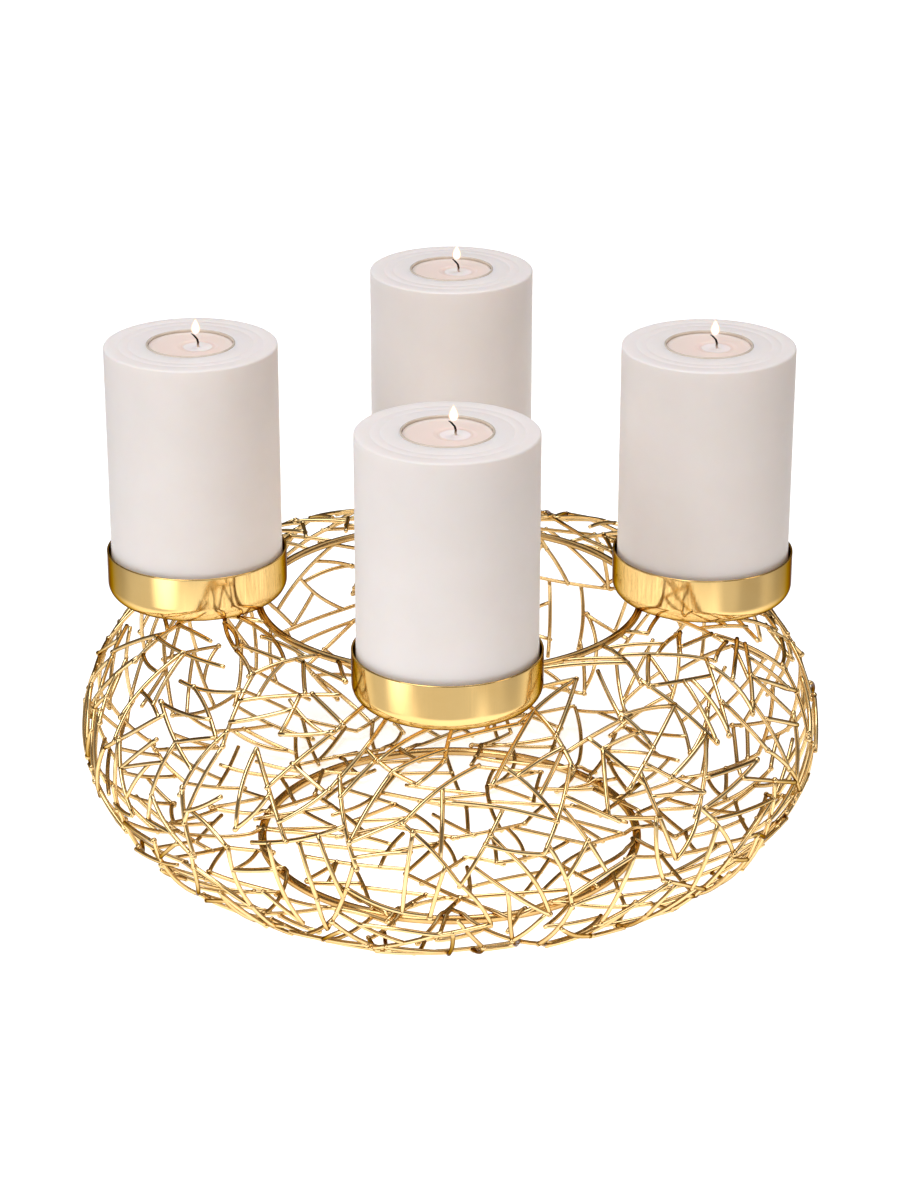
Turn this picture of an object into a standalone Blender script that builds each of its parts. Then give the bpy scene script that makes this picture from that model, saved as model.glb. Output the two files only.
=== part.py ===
"""Advent wreath for four candles, as a Blender script.

A nest of short, gently curved gilt wires, soldered end to side, bulges outward from an upper hoop, curves
back in to a lower one and closes the bottom inside it; its middle is open at the top. Four spun dishes
stand on its crest, each with a wide pillar candle that has a tealight let into its top.

Metres, +Z up. The lower hoop stands on z = 0, the wreath's axis is the Z axis, and the dish that is
called front stands towards -Y.
"""
import math
import random

import bmesh
import bpy
import numpy as np
from mathutils import Matrix, Vector

# Clearance kept between two pieces that touch on the real object
GAP = 0.0003

# Hoops: radius of each rod's centre line round the wreath, and the rods' own radii
UPPER_HOOP_RADIUS = 0.0899
LOWER_HOOP_RADIUS = 0.0910
UPPER_ROD = 0.0018
LOWER_ROD = 0.0021
HOOP_SEGMENTS = 40
ROD_SIDES = 6

# Dishes: outer radius, height, wall, and the radius of the turned bottom edge
DISH_RADIUS = 0.0421
DISH_HEIGHT = 0.0231
DISH_WALL = 0.0009
DISH_CORNER = 0.0076
DISH_CIRCLE = 0.1186
DISH_FLOOR_Z = 0.1279
DISH_SEGMENTS = 24
CORNER_STEPS = 3

# Candles
CANDLE_RADIUS = 0.040
CANDLE_TOP_Z = 0.2506
CANDLE_TOP_BEVEL = 0.0010
CANDLE_FOOT_BEVEL = 0.0045
CANDLE_SEGMENTS = 24

# Tealights: cup, wax level below the rim, and the wick beside the middle
CUP_RADIUS = 0.0200
CUP_HEIGHT = 0.0170
CUP_WALL = 0.0008
CUP_FOOT_BEVEL = 0.0015
CUP_SEGMENTS = 16
WAX_BELOW_RIM = 0.0012
WICK_OFFSET = (0.0035, -0.0005)
WICK_RADIUS = 0.0005
WICK_HEIGHT = 0.0062
WICK_LEAN = 0.0028
WICK_SINK = 0.0030
WICK_SIDES = 6
WICK_HOLE_SIDES = 8

# The wick's curl: shares of its lean reached at shares of its height
WICK_CURL = ((0.0, 0.35), (0.12, 0.66), (0.42, 0.90), (1.0, 1.0))

# Nest: centre line of the wires on a squashed ring, from the upper hoop's edge round to the lower hoop, and
# on a flat bottom that lies on the lower hoop. A wire's section is a triangle: its corner radius, how far
# its flat side stands out, and its end's size
WIRE_RADIUS = 0.00115
WIRE_SIDES = 3
WIRE_FACE = 0.6 * WIRE_RADIUS
END_RADIUS = 0.82 * WIRE_RADIUS
KEEP_APART = 2 * WIRE_RADIUS + GAP
NEST_RADIUS = 0.105
NEST_HALF_WIDTH = 0.0695
NEST_UPPER_EDGE = UPPER_HOOP_RADIUS + UPPER_ROD + GAP + WIRE_FACE
NEST_LOWER_EDGE = LOWER_HOOP_RADIUS + KEEP_APART / 2
NEST_BOTTOM_Z = 0.0036
NEST_TOP_Z = DISH_FLOOR_Z - GAP - WIRE_FACE
BOTTOM_RADIUS = LOWER_HOOP_RADIUS - KEEP_APART / 2
SECTORS = 12
BOTTOM = SECTORS
SECTOR_OVERLAP = math.radians(1.5)
SEAM_SWAY = math.radians(7)
SEAM_WAVES = 2

# Wires: how many, how long (least, most, usual), and how much they bend and stray (rad/m and rad)
GROWTH_ROUNDS = 19
BOTTOM_WIRES = 34
WIRE_LENGTHS = (0.022, 0.056, 0.036)
SHORTEST_WIRE = 0.012
BENT_FROM = 0.027
MOST_BEND = 6.0
STRAY = 0.45
SHARPEST_LEAVE = math.radians(38)

# The first wires, from hoop to hoop and across the bottom: how they lean, how long they are, and where on
# each the next one starts
RISE_START = math.radians(5)
RISE_HEADINGS = (0.36, 0.56)
RISE_LENGTHS = (0.036, 0.048)
RISE_SHARE = 0.85

# Where a wire may leave another, as shares of its length, in what steps, and how much further away than
# the nearest such place
ROOT_SHARES = (0.08, 0.90)
ROOT_SHARE_STEP = 0.12
ROOT_SLACK = 1.3
BESIDE = 0.05

# How a wire is laid: step along the surface, distances that count as met or clear, number of tries
OUTLINE_STEPS = 700
TRACK_STEP = 0.002
TOUCH = 0.0022
JOINT_REACH = 5 * WIRE_RADIUS
SAG = 0.00015
WIRE_SAMPLES = 24
TRIES = 16
EMPTY_DRAWS = 16
SCORE_STEP = 3
LENGTH_WORTH = 0.1
SEED = 26

QUARTERS = {"front": -90, "right": 0, "back": 90, "left": 180}


def clear_scene():
    for old in list(bpy.data.objects):
        bpy.data.objects.remove(old, do_unlink=True)


def finish(name, color, metallic, roughness, transmission=0.0):
    """A plain material of one finish."""
    mat = bpy.data.materials.new(name)
    mat.use_nodes = True
    shader = mat.node_tree.nodes["Principled BSDF"]
    shader.inputs["Base Color"].default_value = (*color, 1.0)
    shader.inputs["Metallic"].default_value = metallic
    shader.inputs["Roughness"].default_value = roughness
    shader.inputs["Transmission Weight"].default_value = transmission
    mat.diffuse_color = (*color, 1.0)
    return mat


def add_object(name, bm, mat, smooth=True):
    """Turn a bmesh into a named object with one material."""
    bmesh.ops.recalc_face_normals(bm, faces=bm.faces)
    mesh = bpy.data.meshes.new(name)
    bm.to_mesh(mesh)
    bm.free()
    mesh.materials.append(mat)
    if smooth:
        mesh.polygons.foreach_set("use_smooth", [True] * len(mesh.polygons))
    obj = bpy.data.objects.new(name, mesh)
    bpy.context.scene.collection.objects.link(obj)
    return obj


def arc(centre, radius, start, end, steps):
    """Points of an arc in the (radius, height) half plane, angles in degrees."""
    turns = [math.radians(start + (end - start) * i / steps) for i in range(steps + 1)]
    return [(centre[0] + radius * math.cos(a), centre[1] + radius * math.sin(a)) for a in turns]


def spun(name, profile, segments, mat, closed=False):
    """Spin a (radius, height) outline round the Z axis; an open outline begins and ends on the axis."""
    bm = bmesh.new()
    verts = [bm.verts.new((r, 0.0, z)) for r, z in profile]
    edges = [bm.edges.new(pair) for pair in zip(verts, verts[1:])]
    if closed:
        edges.append(bm.edges.new((verts[-1], verts[0])))
    bmesh.ops.spin(bm, geom=verts + edges, cent=(0, 0, 0), axis=(0, 0, 1), angle=math.tau,
                   steps=segments, use_merge=True)
    bmesh.ops.remove_doubles(bm, verts=bm.verts, dist=1e-6)
    return add_object(name, bm, mat)


def hoop(name, radius, rod, height, mat):
    """A round rod bent to a circle; its section has few sides and lies on a flat one."""
    first = math.pi / ROD_SIDES - math.pi / 2
    turns = [first + i * math.tau / ROD_SIDES for i in range(ROD_SIDES)]
    section = [(radius + rod * math.cos(a), height + rod * math.sin(a)) for a in turns]
    return spun(name, section, HOOP_SEGMENTS, mat, closed=True)


def lower_hoop_height():
    """Height of the lower hoop's centre line when its flat underside lies on z = 0."""
    return LOWER_ROD * math.cos(math.pi / ROD_SIDES)


def bottom_height():
    """Height of the centre lines of the wires that lie on the lower hoop, a clearance above it."""
    return 2 * lower_hoop_height() + GAP + WIRE_FACE


def upper_hoop_height():
    """The dishes stand a clearance above the upper hoop."""
    return DISH_FLOOR_Z - GAP - UPPER_ROD


def dish_profile():
    inner = DISH_RADIUS - DISH_WALL
    centre = (DISH_RADIUS - DISH_CORNER, DISH_CORNER)
    outside = arc(centre, DISH_CORNER, -90, 0, CORNER_STEPS)
    inside = arc(centre, DISH_CORNER - DISH_WALL, 0, -90, CORNER_STEPS)
    rim = [(DISH_RADIUS, DISH_HEIGHT), (inner, DISH_HEIGHT)]
    return [(0, 0)] + outside + rim + inside + [(0, DISH_WALL)]


def candle_foot():
    """Height of the candle's foot above the dish's underside."""
    return DISH_WALL + GAP


def candle_height():
    return CANDLE_TOP_Z - DISH_FLOOR_Z - candle_foot()


def recess_depth():
    return CUP_HEIGHT + GAP


def candle_profile():
    height = candle_height()
    recess = CUP_RADIUS + GAP
    return [(0, 0), (CANDLE_RADIUS - CANDLE_FOOT_BEVEL, 0), (CANDLE_RADIUS, CANDLE_FOOT_BEVEL),
            (CANDLE_RADIUS, height - CANDLE_TOP_BEVEL), (CANDLE_RADIUS - CANDLE_TOP_BEVEL, height),
            (recess, height), (recess, height - recess_depth()), (0, height - recess_depth())]


def cup_profile():
    inner = CUP_RADIUS - CUP_WALL
    return [(0, 0), (CUP_RADIUS - CUP_FOOT_BEVEL, 0), (CUP_RADIUS, CUP_FOOT_BEVEL),
            (CUP_RADIUS, CUP_HEIGHT), (inner, CUP_HEIGHT),
            (inner, CUP_FOOT_BEVEL + CUP_WALL), (inner - CUP_FOOT_BEVEL, CUP_WALL), (0, CUP_WALL)]


def wax_profile():
    """The tealight's wax, a clearance inside its cup."""
    radius = CUP_RADIUS - CUP_WALL - GAP
    foot = CUP_WALL + GAP
    level = CUP_HEIGHT - WAX_BELOW_RIM
    return [(0, foot), (radius - CUP_FOOT_BEVEL, foot), (radius, foot + CUP_FOOT_BEVEL),
            (radius, level), (0, level)]


def sweep(bm, points, ups, radii, sides):
    """A closed tube along points, with a radius at each; one flat side of it faces up."""
    rings = []
    last = len(points) - 1
    for i, (point, up, radius) in enumerate(zip(points, ups, radii)):
        along = (points[min(i + 1, last)] - points[max(i - 1, 0)]).normalized()
        side = along.cross(up).normalized()
        up = side.cross(along)
        ring = []
        for k in range(sides):
            turn = math.tau * (k + 0.5) / sides
            ring.append(bm.verts.new(point + radius * (math.cos(turn) * up + math.sin(turn) * side)))
        rings.append(ring)
    for near, far in zip(rings, rings[1:]):
        for k in range(sides):
            j = (k + 1) % sides
            bm.faces.new((near[k], near[j], far[j], far[k]))
    bm.faces.new(rings[0][::-1])
    bm.faces.new(rings[-1])


def cut_round_hole(obj, place, radius, top, depth):
    """Cut a small round blind hole down from a height, and apply the cut."""
    bm = bmesh.new()
    centre = Vector((place[0], place[1], top - depth / 2 + GAP))
    bmesh.ops.create_cone(bm, cap_ends=True, segments=WICK_HOLE_SIDES, radius1=radius, radius2=radius,
                          depth=depth + 2 * GAP, matrix=Matrix.Translation(centre))
    cutter = add_object("hole_cutter", bm, obj.data.materials[0])
    cut = obj.modifiers.new("hole", "BOOLEAN")
    cut.operation = "DIFFERENCE"
    cut.solver = "EXACT"
    cut.object = cutter
    apply_modifiers(obj)
    bpy.data.objects.remove(cutter, do_unlink=True)


def apply_modifiers(obj):
    graph = bpy.context.evaluated_depsgraph_get()
    mesh = bpy.data.meshes.new_from_object(obj.evaluated_get(graph))
    obj.modifiers.clear()
    obj.data = mesh


def wick(name, level, mat):
    """A wick that stands in its hole in the wax and curls over to the left at its tip."""
    x, y = WICK_OFFSET
    points = [Vector((x, y, level - WICK_SINK + GAP))]
    points += [Vector((x - lean * WICK_LEAN, y, level + rise * WICK_HEIGHT)) for lean, rise in WICK_CURL]
    bm = bmesh.new()
    sweep(bm, points, [Vector((0, 1, 0))] * len(points), [WICK_RADIUS] * len(points), WICK_SIDES)
    return add_object(name, bm, mat)


def candle_stand(quarter, angle, mats):
    """One dish with its pillar candle and tealight, placed on the nest's crest."""
    turn = math.radians(angle)
    x, y = DISH_CIRCLE * math.cos(turn), DISH_CIRCLE * math.sin(turn)
    foot_z = DISH_FLOOR_Z + candle_foot()
    cup_z = CANDLE_TOP_Z - CUP_HEIGHT
    level = CUP_HEIGHT - WAX_BELOW_RIM

    dish = spun(f"dish_{quarter}", dish_profile(), DISH_SEGMENTS, mats["gilt"])
    candle = spun(f"candle_{quarter}", candle_profile(), CANDLE_SEGMENTS, mats["wax"])
    cup = spun(f"tealight_cup_{quarter}", cup_profile(), CUP_SEGMENTS, mats["cup"])
    wax = spun(f"tealight_wax_{quarter}", wax_profile(), CUP_SEGMENTS, mats["tealight"])
    cut_round_hole(wax, WICK_OFFSET, WICK_RADIUS + GAP, level, WICK_SINK)
    thread = wick(f"wick_{quarter}", level, mats["wick"])

    dish.location = (x, y, DISH_FLOOR_Z)
    candle.location = (x, y, foot_z)
    for piece in (cup, wax, thread):
        piece.location = (x, y, cup_z)


def nest_outline():
    """The nest's cross-section from edge to edge: its length, and radius and height at even steps."""
    middle = (NEST_TOP_Z + NEST_BOTTOM_Z) / 2
    half_height = (NEST_TOP_Z - NEST_BOTTOM_Z) / 2
    first = math.acos((NEST_UPPER_EDGE - NEST_RADIUS) / NEST_HALF_WIDTH)
    last = math.acos((NEST_LOWER_EDGE - NEST_RADIUS) / NEST_HALF_WIDTH)
    turns = np.linspace(first, -last, OUTLINE_STEPS)
    radii = NEST_RADIUS + NEST_HALF_WIDTH * np.cos(turns)
    heights = middle + half_height * np.sin(turns)
    lengths = np.append(0.0, np.cumsum(np.hypot(np.diff(radii), np.diff(heights))))
    even = np.linspace(0.0, lengths[-1], OUTLINE_STEPS + 1)
    return lengths[-1], np.interp(even, lengths, radii), np.interp(even, lengths, heights)


GIRTH, RADII, HEIGHTS = nest_outline()
OUTLINE_STEP = GIRTH / OUTLINE_STEPS


def on_nest(run, around):
    """Point of the nest at a running length along its section and an angle round the wreath."""
    place = np.clip(run, 0.0, GIRTH) / OUTLINE_STEP
    rows = np.arange(OUTLINE_STEPS + 1)
    radius = np.interp(place, rows, RADII)
    height = np.interp(place, rows, HEIGHTS)
    return np.stack([radius * np.cos(around), radius * np.sin(around), height], axis=-1)


def outward(run, around):
    """Direction that faces out of the nest there."""
    ahead, behind = on_nest(run + 2 * OUTLINE_STEP, 0.0), on_nest(run - 2 * OUTLINE_STEP, 0.0)
    out, up = behind[2] - ahead[2], ahead[0] - behind[0]
    return Vector((out * math.cos(around), out * math.sin(around), up)).normalized()


class Bulge:
    """The nest's side. A place on it is a running length along its section and an angle round the wreath."""

    first, last = 0.0, GIRTH

    def __init__(self, sector):
        self.sector = sector

    def points(self, places):
        return on_nest(places[..., 0], places[..., 1])

    def out(self, place):
        return outward(*place)

    def measure(self, run):
        """Radius of the nest there, and how much it widens along the section."""
        row = min(int(run / OUTLINE_STEP), OUTLINE_STEPS - 1)
        return RADII[row], (RADII[row + 1] - RADII[row]) / OUTLINE_STEP

    def holds(self, place):
        return 0.0 <= place[0] <= GIRTH

    def clip(self, place):
        return min(max(place[0], 0.0), GIRTH), place[1]

    def start(self, side):
        return 0.0, middle_of(self.sector, 0.0) - side * RISE_START

    def any_place(self, draw):
        """A random place of the sector, evenly spread over its area."""
        while True:
            run = GIRTH * draw.random()
            around = middle_of(self.sector, run) + draw.uniform(-1, 1) * math.pi / SECTORS
            if draw.random() * RADII.max() < RADII[int(run / OUTLINE_STEP)]:
                return run, around

    def within(self, line):
        """How many places of a track lie in the sector before it leaves it."""
        for step, (run, around) in enumerate(line):
            if abs(around - middle_of(self.sector, run)) > math.pi / SECTORS + SECTOR_OVERLAP:
                return step
        return len(line)


class Bottom:
    """The nest's flat bottom inside the lower hoop. A place on it is an x and a y."""

    first, last = -BOTTOM_RADIUS, BOTTOM_RADIUS

    def points(self, places):
        return np.concatenate([places, np.full(places.shape[:-1] + (1,), bottom_height())], axis=-1)

    def out(self, place):
        return Vector((0, 0, -1))

    def measure(self, run):
        return 1.0, 0.0

    def holds(self, place):
        return math.hypot(*place) <= BOTTOM_RADIUS

    def clip(self, place):
        share = min(1.0, BOTTOM_RADIUS / math.hypot(*place))
        return place[0] * share, place[1] * share

    def start(self, side):
        return -BOTTOM_RADIUS, 0.0

    def any_place(self, draw):
        while True:
            place = draw.uniform(self.first, self.last), draw.uniform(self.first, self.last)
            if self.holds(place):
                return place

    def within(self, line):
        return len(line)


def track(form, place, heading, bend, length):
    """Follow a form's surface from a place, straight but for a slight bend; heading 0 runs along run.

    The track ends early where it comes to the form's edge.
    """
    run, around = place
    places = [(run, around)]
    for _ in range(int(length / TRACK_STEP)):
        radius, widening = form.measure(run)
        heading += TRACK_STEP * (bend - math.sin(heading) * widening / radius)
        run += TRACK_STEP * math.cos(heading)
        around += TRACK_STEP * math.sin(heading) / radius
        places.append(form.clip((run, around)))
        if not form.holds((run, around)):
            break
    return np.array(places)


def between(points, shares):
    """Points at shares of the way along evenly spaced points."""
    place = np.asarray(shares) * (len(points) - 1)
    row = np.clip(np.floor(place).astype(int), 0, len(points) - 2)
    part = (place - row)[..., None]
    return points[row] * (1 - part) + points[row + 1] * part


def corners(form, line, count):
    """The ends of a wire's few straight stretches, at even steps along its track."""
    return form.points(between(line, np.linspace(0.0, 1.0, count + 1)))


def distances(points, starts, ends):
    """Distance of each point to each straight stretch, and where on the stretch it is nearest."""
    span = ends - starts
    offset = points[:, None, :] - starts[None, :, :]
    share = np.clip((offset * span).sum(-1) / (span * span).sum(-1), 0.0, 1.0)
    return np.linalg.norm(offset - share[..., None] * span, axis=-1), share


def clear_of_hoops(points):
    """True if a wire along these points keeps its clearance to both hoops."""
    radii = np.hypot(points[:, 0], points[:, 1])
    above = np.hypot(radii - UPPER_HOOP_RADIUS, points[:, 2] - upper_hoop_height())
    below = np.hypot(radii - LOWER_HOOP_RADIUS, points[:, 2] - lower_hoop_height())
    reach = WIRE_FACE + GAP - SAG
    return above.min() > UPPER_ROD + reach and below.min() > lower_hoop_height() + reach


def middle_of(sector, run):
    """Angle of a sector's middle; the seams between sectors sway with the running length."""
    sway = SEAM_SWAY * math.sin(SEAM_WAVES * math.tau * run / GIRTH)
    return math.tau * (sector + 0.5) / SECTORS - math.pi + sway


class Nest:
    """Grows the wires one after another, each from the side of an earlier wire of its sector."""

    def __init__(self, seed):
        self.draw = random.Random(seed)
        self.forms = [Bulge(sector) for sector in range(SECTORS)] + [Bottom()]
        self.wires = []
        self.starts = np.zeros((0, 3))
        self.ends = np.zeros((0, 3))
        self.owner = np.zeros(0, dtype=int)
        self.sector_of = np.zeros(0, dtype=int)

    def lay(self, sector, line, points):
        """Keep a wire; its stretches are what later wires meet."""
        count = len(points) - 1
        self.starts = np.concatenate([self.starts, points[:-1]])
        self.ends = np.concatenate([self.ends, points[1:]])
        self.owner = np.append(self.owner, [len(self.wires)] * count)
        self.sector_of = np.append(self.sector_of, [sector] * count)
        self.wires.append({"sector": sector, "line": line, "points": points})

    def rise(self, sector):
        """A sector's first wires: a broken line from hoop to hoop, or across the bottom."""
        form = self.forms[sector]
        side = self.draw.choice((-1, 1))
        place, root = form.start(side), None
        while True:
            heading = side * self.draw.uniform(*RISE_HEADINGS)
            length = self.draw.uniform(*RISE_LENGTHS)
            last = place[0] + RISE_SHARE * length > form.last - SHORTEST_WIRE
            line = track(form, place, heading, 0.0, form.last - form.first if last else length)
            points = corners(form, line, 2)
            if root is not None:
                points[0] = root
            self.lay(sector, line, points)
            if last:
                return
            place = between(line, RISE_SHARE)
            root = between(points, RISE_SHARE)
            side = -side

    def emptiest(self, form):
        """The place of a form, out of some random ones, that is furthest from any wire."""
        places = np.array([form.any_place(self.draw) for _ in range(EMPTY_DRAWS)])
        apart, _ = distances(form.points(places), self.starts, self.ends)
        return places[int(apart.min(axis=1).argmax())]

    def root(self, sector, goal):
        """The wire of a sector, and the share along it, that lies about nearest to a point."""
        picks = []
        for index, wire in enumerate(self.wires):
            if wire["sector"] == sector:
                for share in np.arange(ROOT_SHARES[0], ROOT_SHARES[1], ROOT_SHARE_STEP):
                    share += self.draw.uniform(0.0, ROOT_SHARE_STEP)
                    apart = np.linalg.norm(between(wire["points"], share) - goal)
                    picks.append((apart * self.draw.uniform(1.0, ROOT_SLACK), index, share))
        return min(picks)[1:]

    def propose(self, sector):
        """A wire that leaves the side of an earlier one towards an empty place, until it meets another."""
        form = self.forms[sector]
        target = self.emptiest(form)
        parent_index, share = self.root(sector, form.points(target))
        parent = self.wires[parent_index]

        before, here, after = between(parent["line"], [share - BESIDE, share, share + BESIDE])
        radius, _ = form.measure(here[0])
        own = math.atan2((after[1] - before[1]) * radius, after[0] - before[0])
        middle_radius = (radius + form.measure(target[0])[0]) / 2
        heading = math.atan2((target[1] - here[1]) * middle_radius, target[0] - here[0])
        heading += self.draw.uniform(-STRAY, STRAY)
        leave = (heading - own + math.pi / 2) % math.pi - math.pi / 2
        if abs(leave) < SHARPEST_LEAVE:
            heading += math.copysign(SHARPEST_LEAVE, leave) - leave
        bend = self.draw.uniform(-MOST_BEND, MOST_BEND)
        line = track(form, here, heading, bend, self.draw.triangular(*WIRE_LENGTHS))
        line = line[:form.within(line)]
        if len(line) * TRACK_STEP < SHORTEST_WIRE:
            return None
        line, met = self.until_met(line, sector, parent_index)
        if len(line) * TRACK_STEP < SHORTEST_WIRE:
            return None

        points = corners(form, line, 2 if len(line) * TRACK_STEP > BENT_FROM else 1)
        points[0] = between(parent["points"], share)
        if met:
            stretch, along = met
            points[-1] = self.starts[stretch] + along * (self.ends[stretch] - self.starts[stretch])
        if not self.free(points, parent_index, sector, met):
            return None
        return line, points, self.score(form, line)

    def until_met(self, line, sector, parent_index):
        """A track cut where it comes to another wire, and the stretch met if it is the sector's own."""
        apart, shares = distances(self.forms[sector].points(line), self.starts, self.ends)
        foreign = self.sector_of != sector
        apart[:int(JOINT_REACH / TRACK_STEP)] = 1.0
        apart[:, self.owner == parent_index] = 1.0
        near = np.where(foreign[None, :], apart < KEEP_APART + GAP, apart < TOUCH)
        if not near.any():
            return line, None
        step = int(np.argmax(near.any(axis=1)))
        stretch = int(np.argmin(np.where(near[step], apart[step], 1.0)))
        if foreign[stretch]:
            return line[:step], None
        return line[:step + 1], (stretch, shares[step, stretch])

    def free(self, points, parent_index, sector, met):
        """True if the wire touches nothing but the wires at its two ends."""
        shares = np.linspace(0.0, 1.0, WIRE_SAMPLES)
        samples = between(points, shares)
        if not clear_of_hoops(samples):
            return False
        length = np.linalg.norm(np.diff(points, axis=0), axis=1).sum()
        apart, _ = distances(samples, self.starts, self.ends)
        at_start = shares * length < JOINT_REACH
        apart[np.ix_(at_start, self.owner == parent_index)] = 1.0
        if met:
            at_end = (1 - shares) * length < JOINT_REACH
            apart[np.ix_(at_end, self.owner == self.owner[met[0]])] = 1.0
        return apart.min() > KEEP_APART

    def score(self, form, line):
        """How empty the stretch is that a wire would fill."""
        apart, _ = distances(form.points(line[SCORE_STEP::SCORE_STEP]), self.starts, self.ends)
        return apart.min(axis=1).mean() + LENGTH_WORTH * len(line) * TRACK_STEP

    def grow(self, rounds, bottom_wires):
        """Start each sector at the hoops, then let all in turn add the best of a few proposed wires."""
        for sector in range(SECTORS + 1):
            self.rise(sector)
        for sector in list(range(SECTORS)) * rounds + [BOTTOM] * bottom_wires:
            proposed = [self.propose(sector) for _ in range(TRIES)]
            found = [wire for wire in proposed if wire]
            if found:
                line, points, _ = max(found, key=lambda wire: wire[2])
                self.lay(sector, line, points)


def wire_object(wire, form, collection, mat):
    """One wire as a thin three-sided prism with a flat side facing out of the nest.

    Its ends are a little slimmer, so that they lie within the wires that they are sunk into.
    """
    count = len(wire["points"]) - 1
    ups = [form.out(place) for place in between(wire["line"], np.linspace(0.0, 1.0, count + 1))]
    radii = [END_RADIUS] + [WIRE_RADIUS] * (count - 1) + [END_RADIUS]
    bm = bmesh.new()
    sweep(bm, [Vector(p) for p in wire["points"]], ups, radii, WIRE_SIDES)
    bmesh.ops.recalc_face_normals(bm, faces=bm.faces)
    mesh = bpy.data.meshes.new("wire")
    bm.to_mesh(mesh)
    bm.free()
    mesh.materials.append(mat)
    obj = bpy.data.objects.new("wire", mesh)
    collection.objects.link(obj)
    return obj


def keep_largest_shell(obj):
    """Drop loose scraps and sealed hollows that the union may leave."""
    bm = bmesh.new()
    bm.from_mesh(obj.data)
    left = set(bm.verts)
    shells = []
    while left:
        stack = [left.pop()]
        shell = set(stack)
        while stack:
            for edge in stack.pop().link_edges:
                for vert in edge.verts:
                    if vert in left:
                        left.remove(vert)
                        shell.add(vert)
                        stack.append(vert)
        shells.append(shell)
    biggest = max(shells, key=len)
    scraps = [vert for shell in shells if shell is not biggest for vert in shell]
    bmesh.ops.delete(bm, geom=scraps, context="VERTS")
    bm.to_mesh(obj.data)
    bm.free()


def joined_wires(name, form, wires, mat):
    """All wires of one sector, joined to one body."""
    collection = bpy.data.collections.new("sector_wires")
    bpy.context.scene.collection.children.link(collection)
    objects = [wire_object(wire, form, collection, mat) for wire in wires]
    base = objects[0]
    collection.objects.unlink(base)
    bpy.context.scene.collection.objects.link(base)
    base.name = name
    base.data.name = base.name
    join = base.modifiers.new("join", "BOOLEAN")
    join.operation = "UNION"
    join.solver = "MANIFOLD"
    join.operand_type = "COLLECTION"
    join.collection = collection
    apply_modifiers(base)
    for obj in objects[1:]:
        bpy.data.objects.remove(obj, do_unlink=True)
    bpy.data.collections.remove(collection)
    keep_largest_shell(base)


def build():
    clear_scene()
    mats = {
        "gilt": finish("gilt_metal", (0.83, 0.60, 0.28), 1.0, 0.18),
        "wax": finish("candle_wax", (0.80, 0.75, 0.72), 0.0, 0.50),
        "cup": finish("clear_cup", (0.90, 0.88, 0.84), 0.0, 0.10, transmission=0.8),
        "tealight": finish("tealight_wax", (0.82, 0.72, 0.66), 0.0, 0.45),
        "wick": finish("charred_wick", (0.03, 0.02, 0.02), 0.0, 0.90),
    }
    hoop("upper_hoop", UPPER_HOOP_RADIUS, UPPER_ROD, upper_hoop_height(), mats["gilt"])
    hoop("lower_hoop", LOWER_HOOP_RADIUS, LOWER_ROD, lower_hoop_height(), mats["gilt"])
    for quarter, angle in QUARTERS.items():
        candle_stand(quarter, angle, mats)
    nest = Nest(SEED)
    nest.grow(GROWTH_ROUNDS, BOTTOM_WIRES)
    names = [f"nest_sector_{sector + 1:02d}" for sector in range(SECTORS)] + ["nest_bottom"]
    for sector, name in enumerate(names):
        wires = [wire for wire in nest.wires if wire["sector"] == sector]
        joined_wires(name, nest.forms[sector], wires, mats["gilt"])


build()
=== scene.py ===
"""Looks of the advent wreath: fine gilt wires, hoops, spun dishes, pillar candles and lit tealights.

Metres, +Z up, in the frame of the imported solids.
"""
import math
import random

import bmesh
import bpy
import numpy as np
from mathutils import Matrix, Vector


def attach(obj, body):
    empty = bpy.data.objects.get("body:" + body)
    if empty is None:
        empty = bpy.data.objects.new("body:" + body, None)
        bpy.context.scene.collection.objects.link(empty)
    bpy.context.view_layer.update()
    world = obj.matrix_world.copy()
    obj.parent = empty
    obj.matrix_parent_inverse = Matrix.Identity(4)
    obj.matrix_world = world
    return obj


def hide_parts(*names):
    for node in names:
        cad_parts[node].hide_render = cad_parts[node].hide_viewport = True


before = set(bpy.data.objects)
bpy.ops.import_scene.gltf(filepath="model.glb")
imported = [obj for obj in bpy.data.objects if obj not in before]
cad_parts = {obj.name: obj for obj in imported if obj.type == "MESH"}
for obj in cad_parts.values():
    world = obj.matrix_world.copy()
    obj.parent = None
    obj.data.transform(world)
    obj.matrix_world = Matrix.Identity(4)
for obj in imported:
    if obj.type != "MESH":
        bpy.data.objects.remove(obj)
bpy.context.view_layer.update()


# Clearance kept between two pieces that touch on the real object
GAP = 0.0003

# Hoops: radius of each rod's centre line round the wreath, the rods' own radii, and the sides that the
# solids' rods have
UPPER_HOOP_RADIUS = 0.0899
LOWER_HOOP_RADIUS = 0.0910
UPPER_ROD = 0.0018
LOWER_ROD = 0.0021
ROD_SIDES = 6

# Dishes: outer radius, height, wall, and the radius of the turned bottom edge
DISH_RADIUS = 0.0421
DISH_HEIGHT = 0.0231
DISH_WALL = 0.0009
DISH_CORNER = 0.0076
DISH_CIRCLE = 0.1186
DISH_FLOOR_Z = 0.1279

# Candles
CANDLE_RADIUS = 0.040
CANDLE_TOP_Z = 0.2506
CANDLE_TOP_BEVEL = 0.0010
CANDLE_FOOT_BEVEL = 0.0045

# Tealights: cup, wax level below the rim, and the wick beside the middle
CUP_RADIUS = 0.0200
CUP_HEIGHT = 0.0170
CUP_WALL = 0.0008
CUP_FOOT_BEVEL = 0.0015
WAX_BELOW_RIM = 0.0012
WICK_OFFSET = (0.0035, -0.0005)
WICK_RADIUS = 0.0005
WICK_HEIGHT = 0.0062
WICK_LEAN = 0.0028

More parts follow.
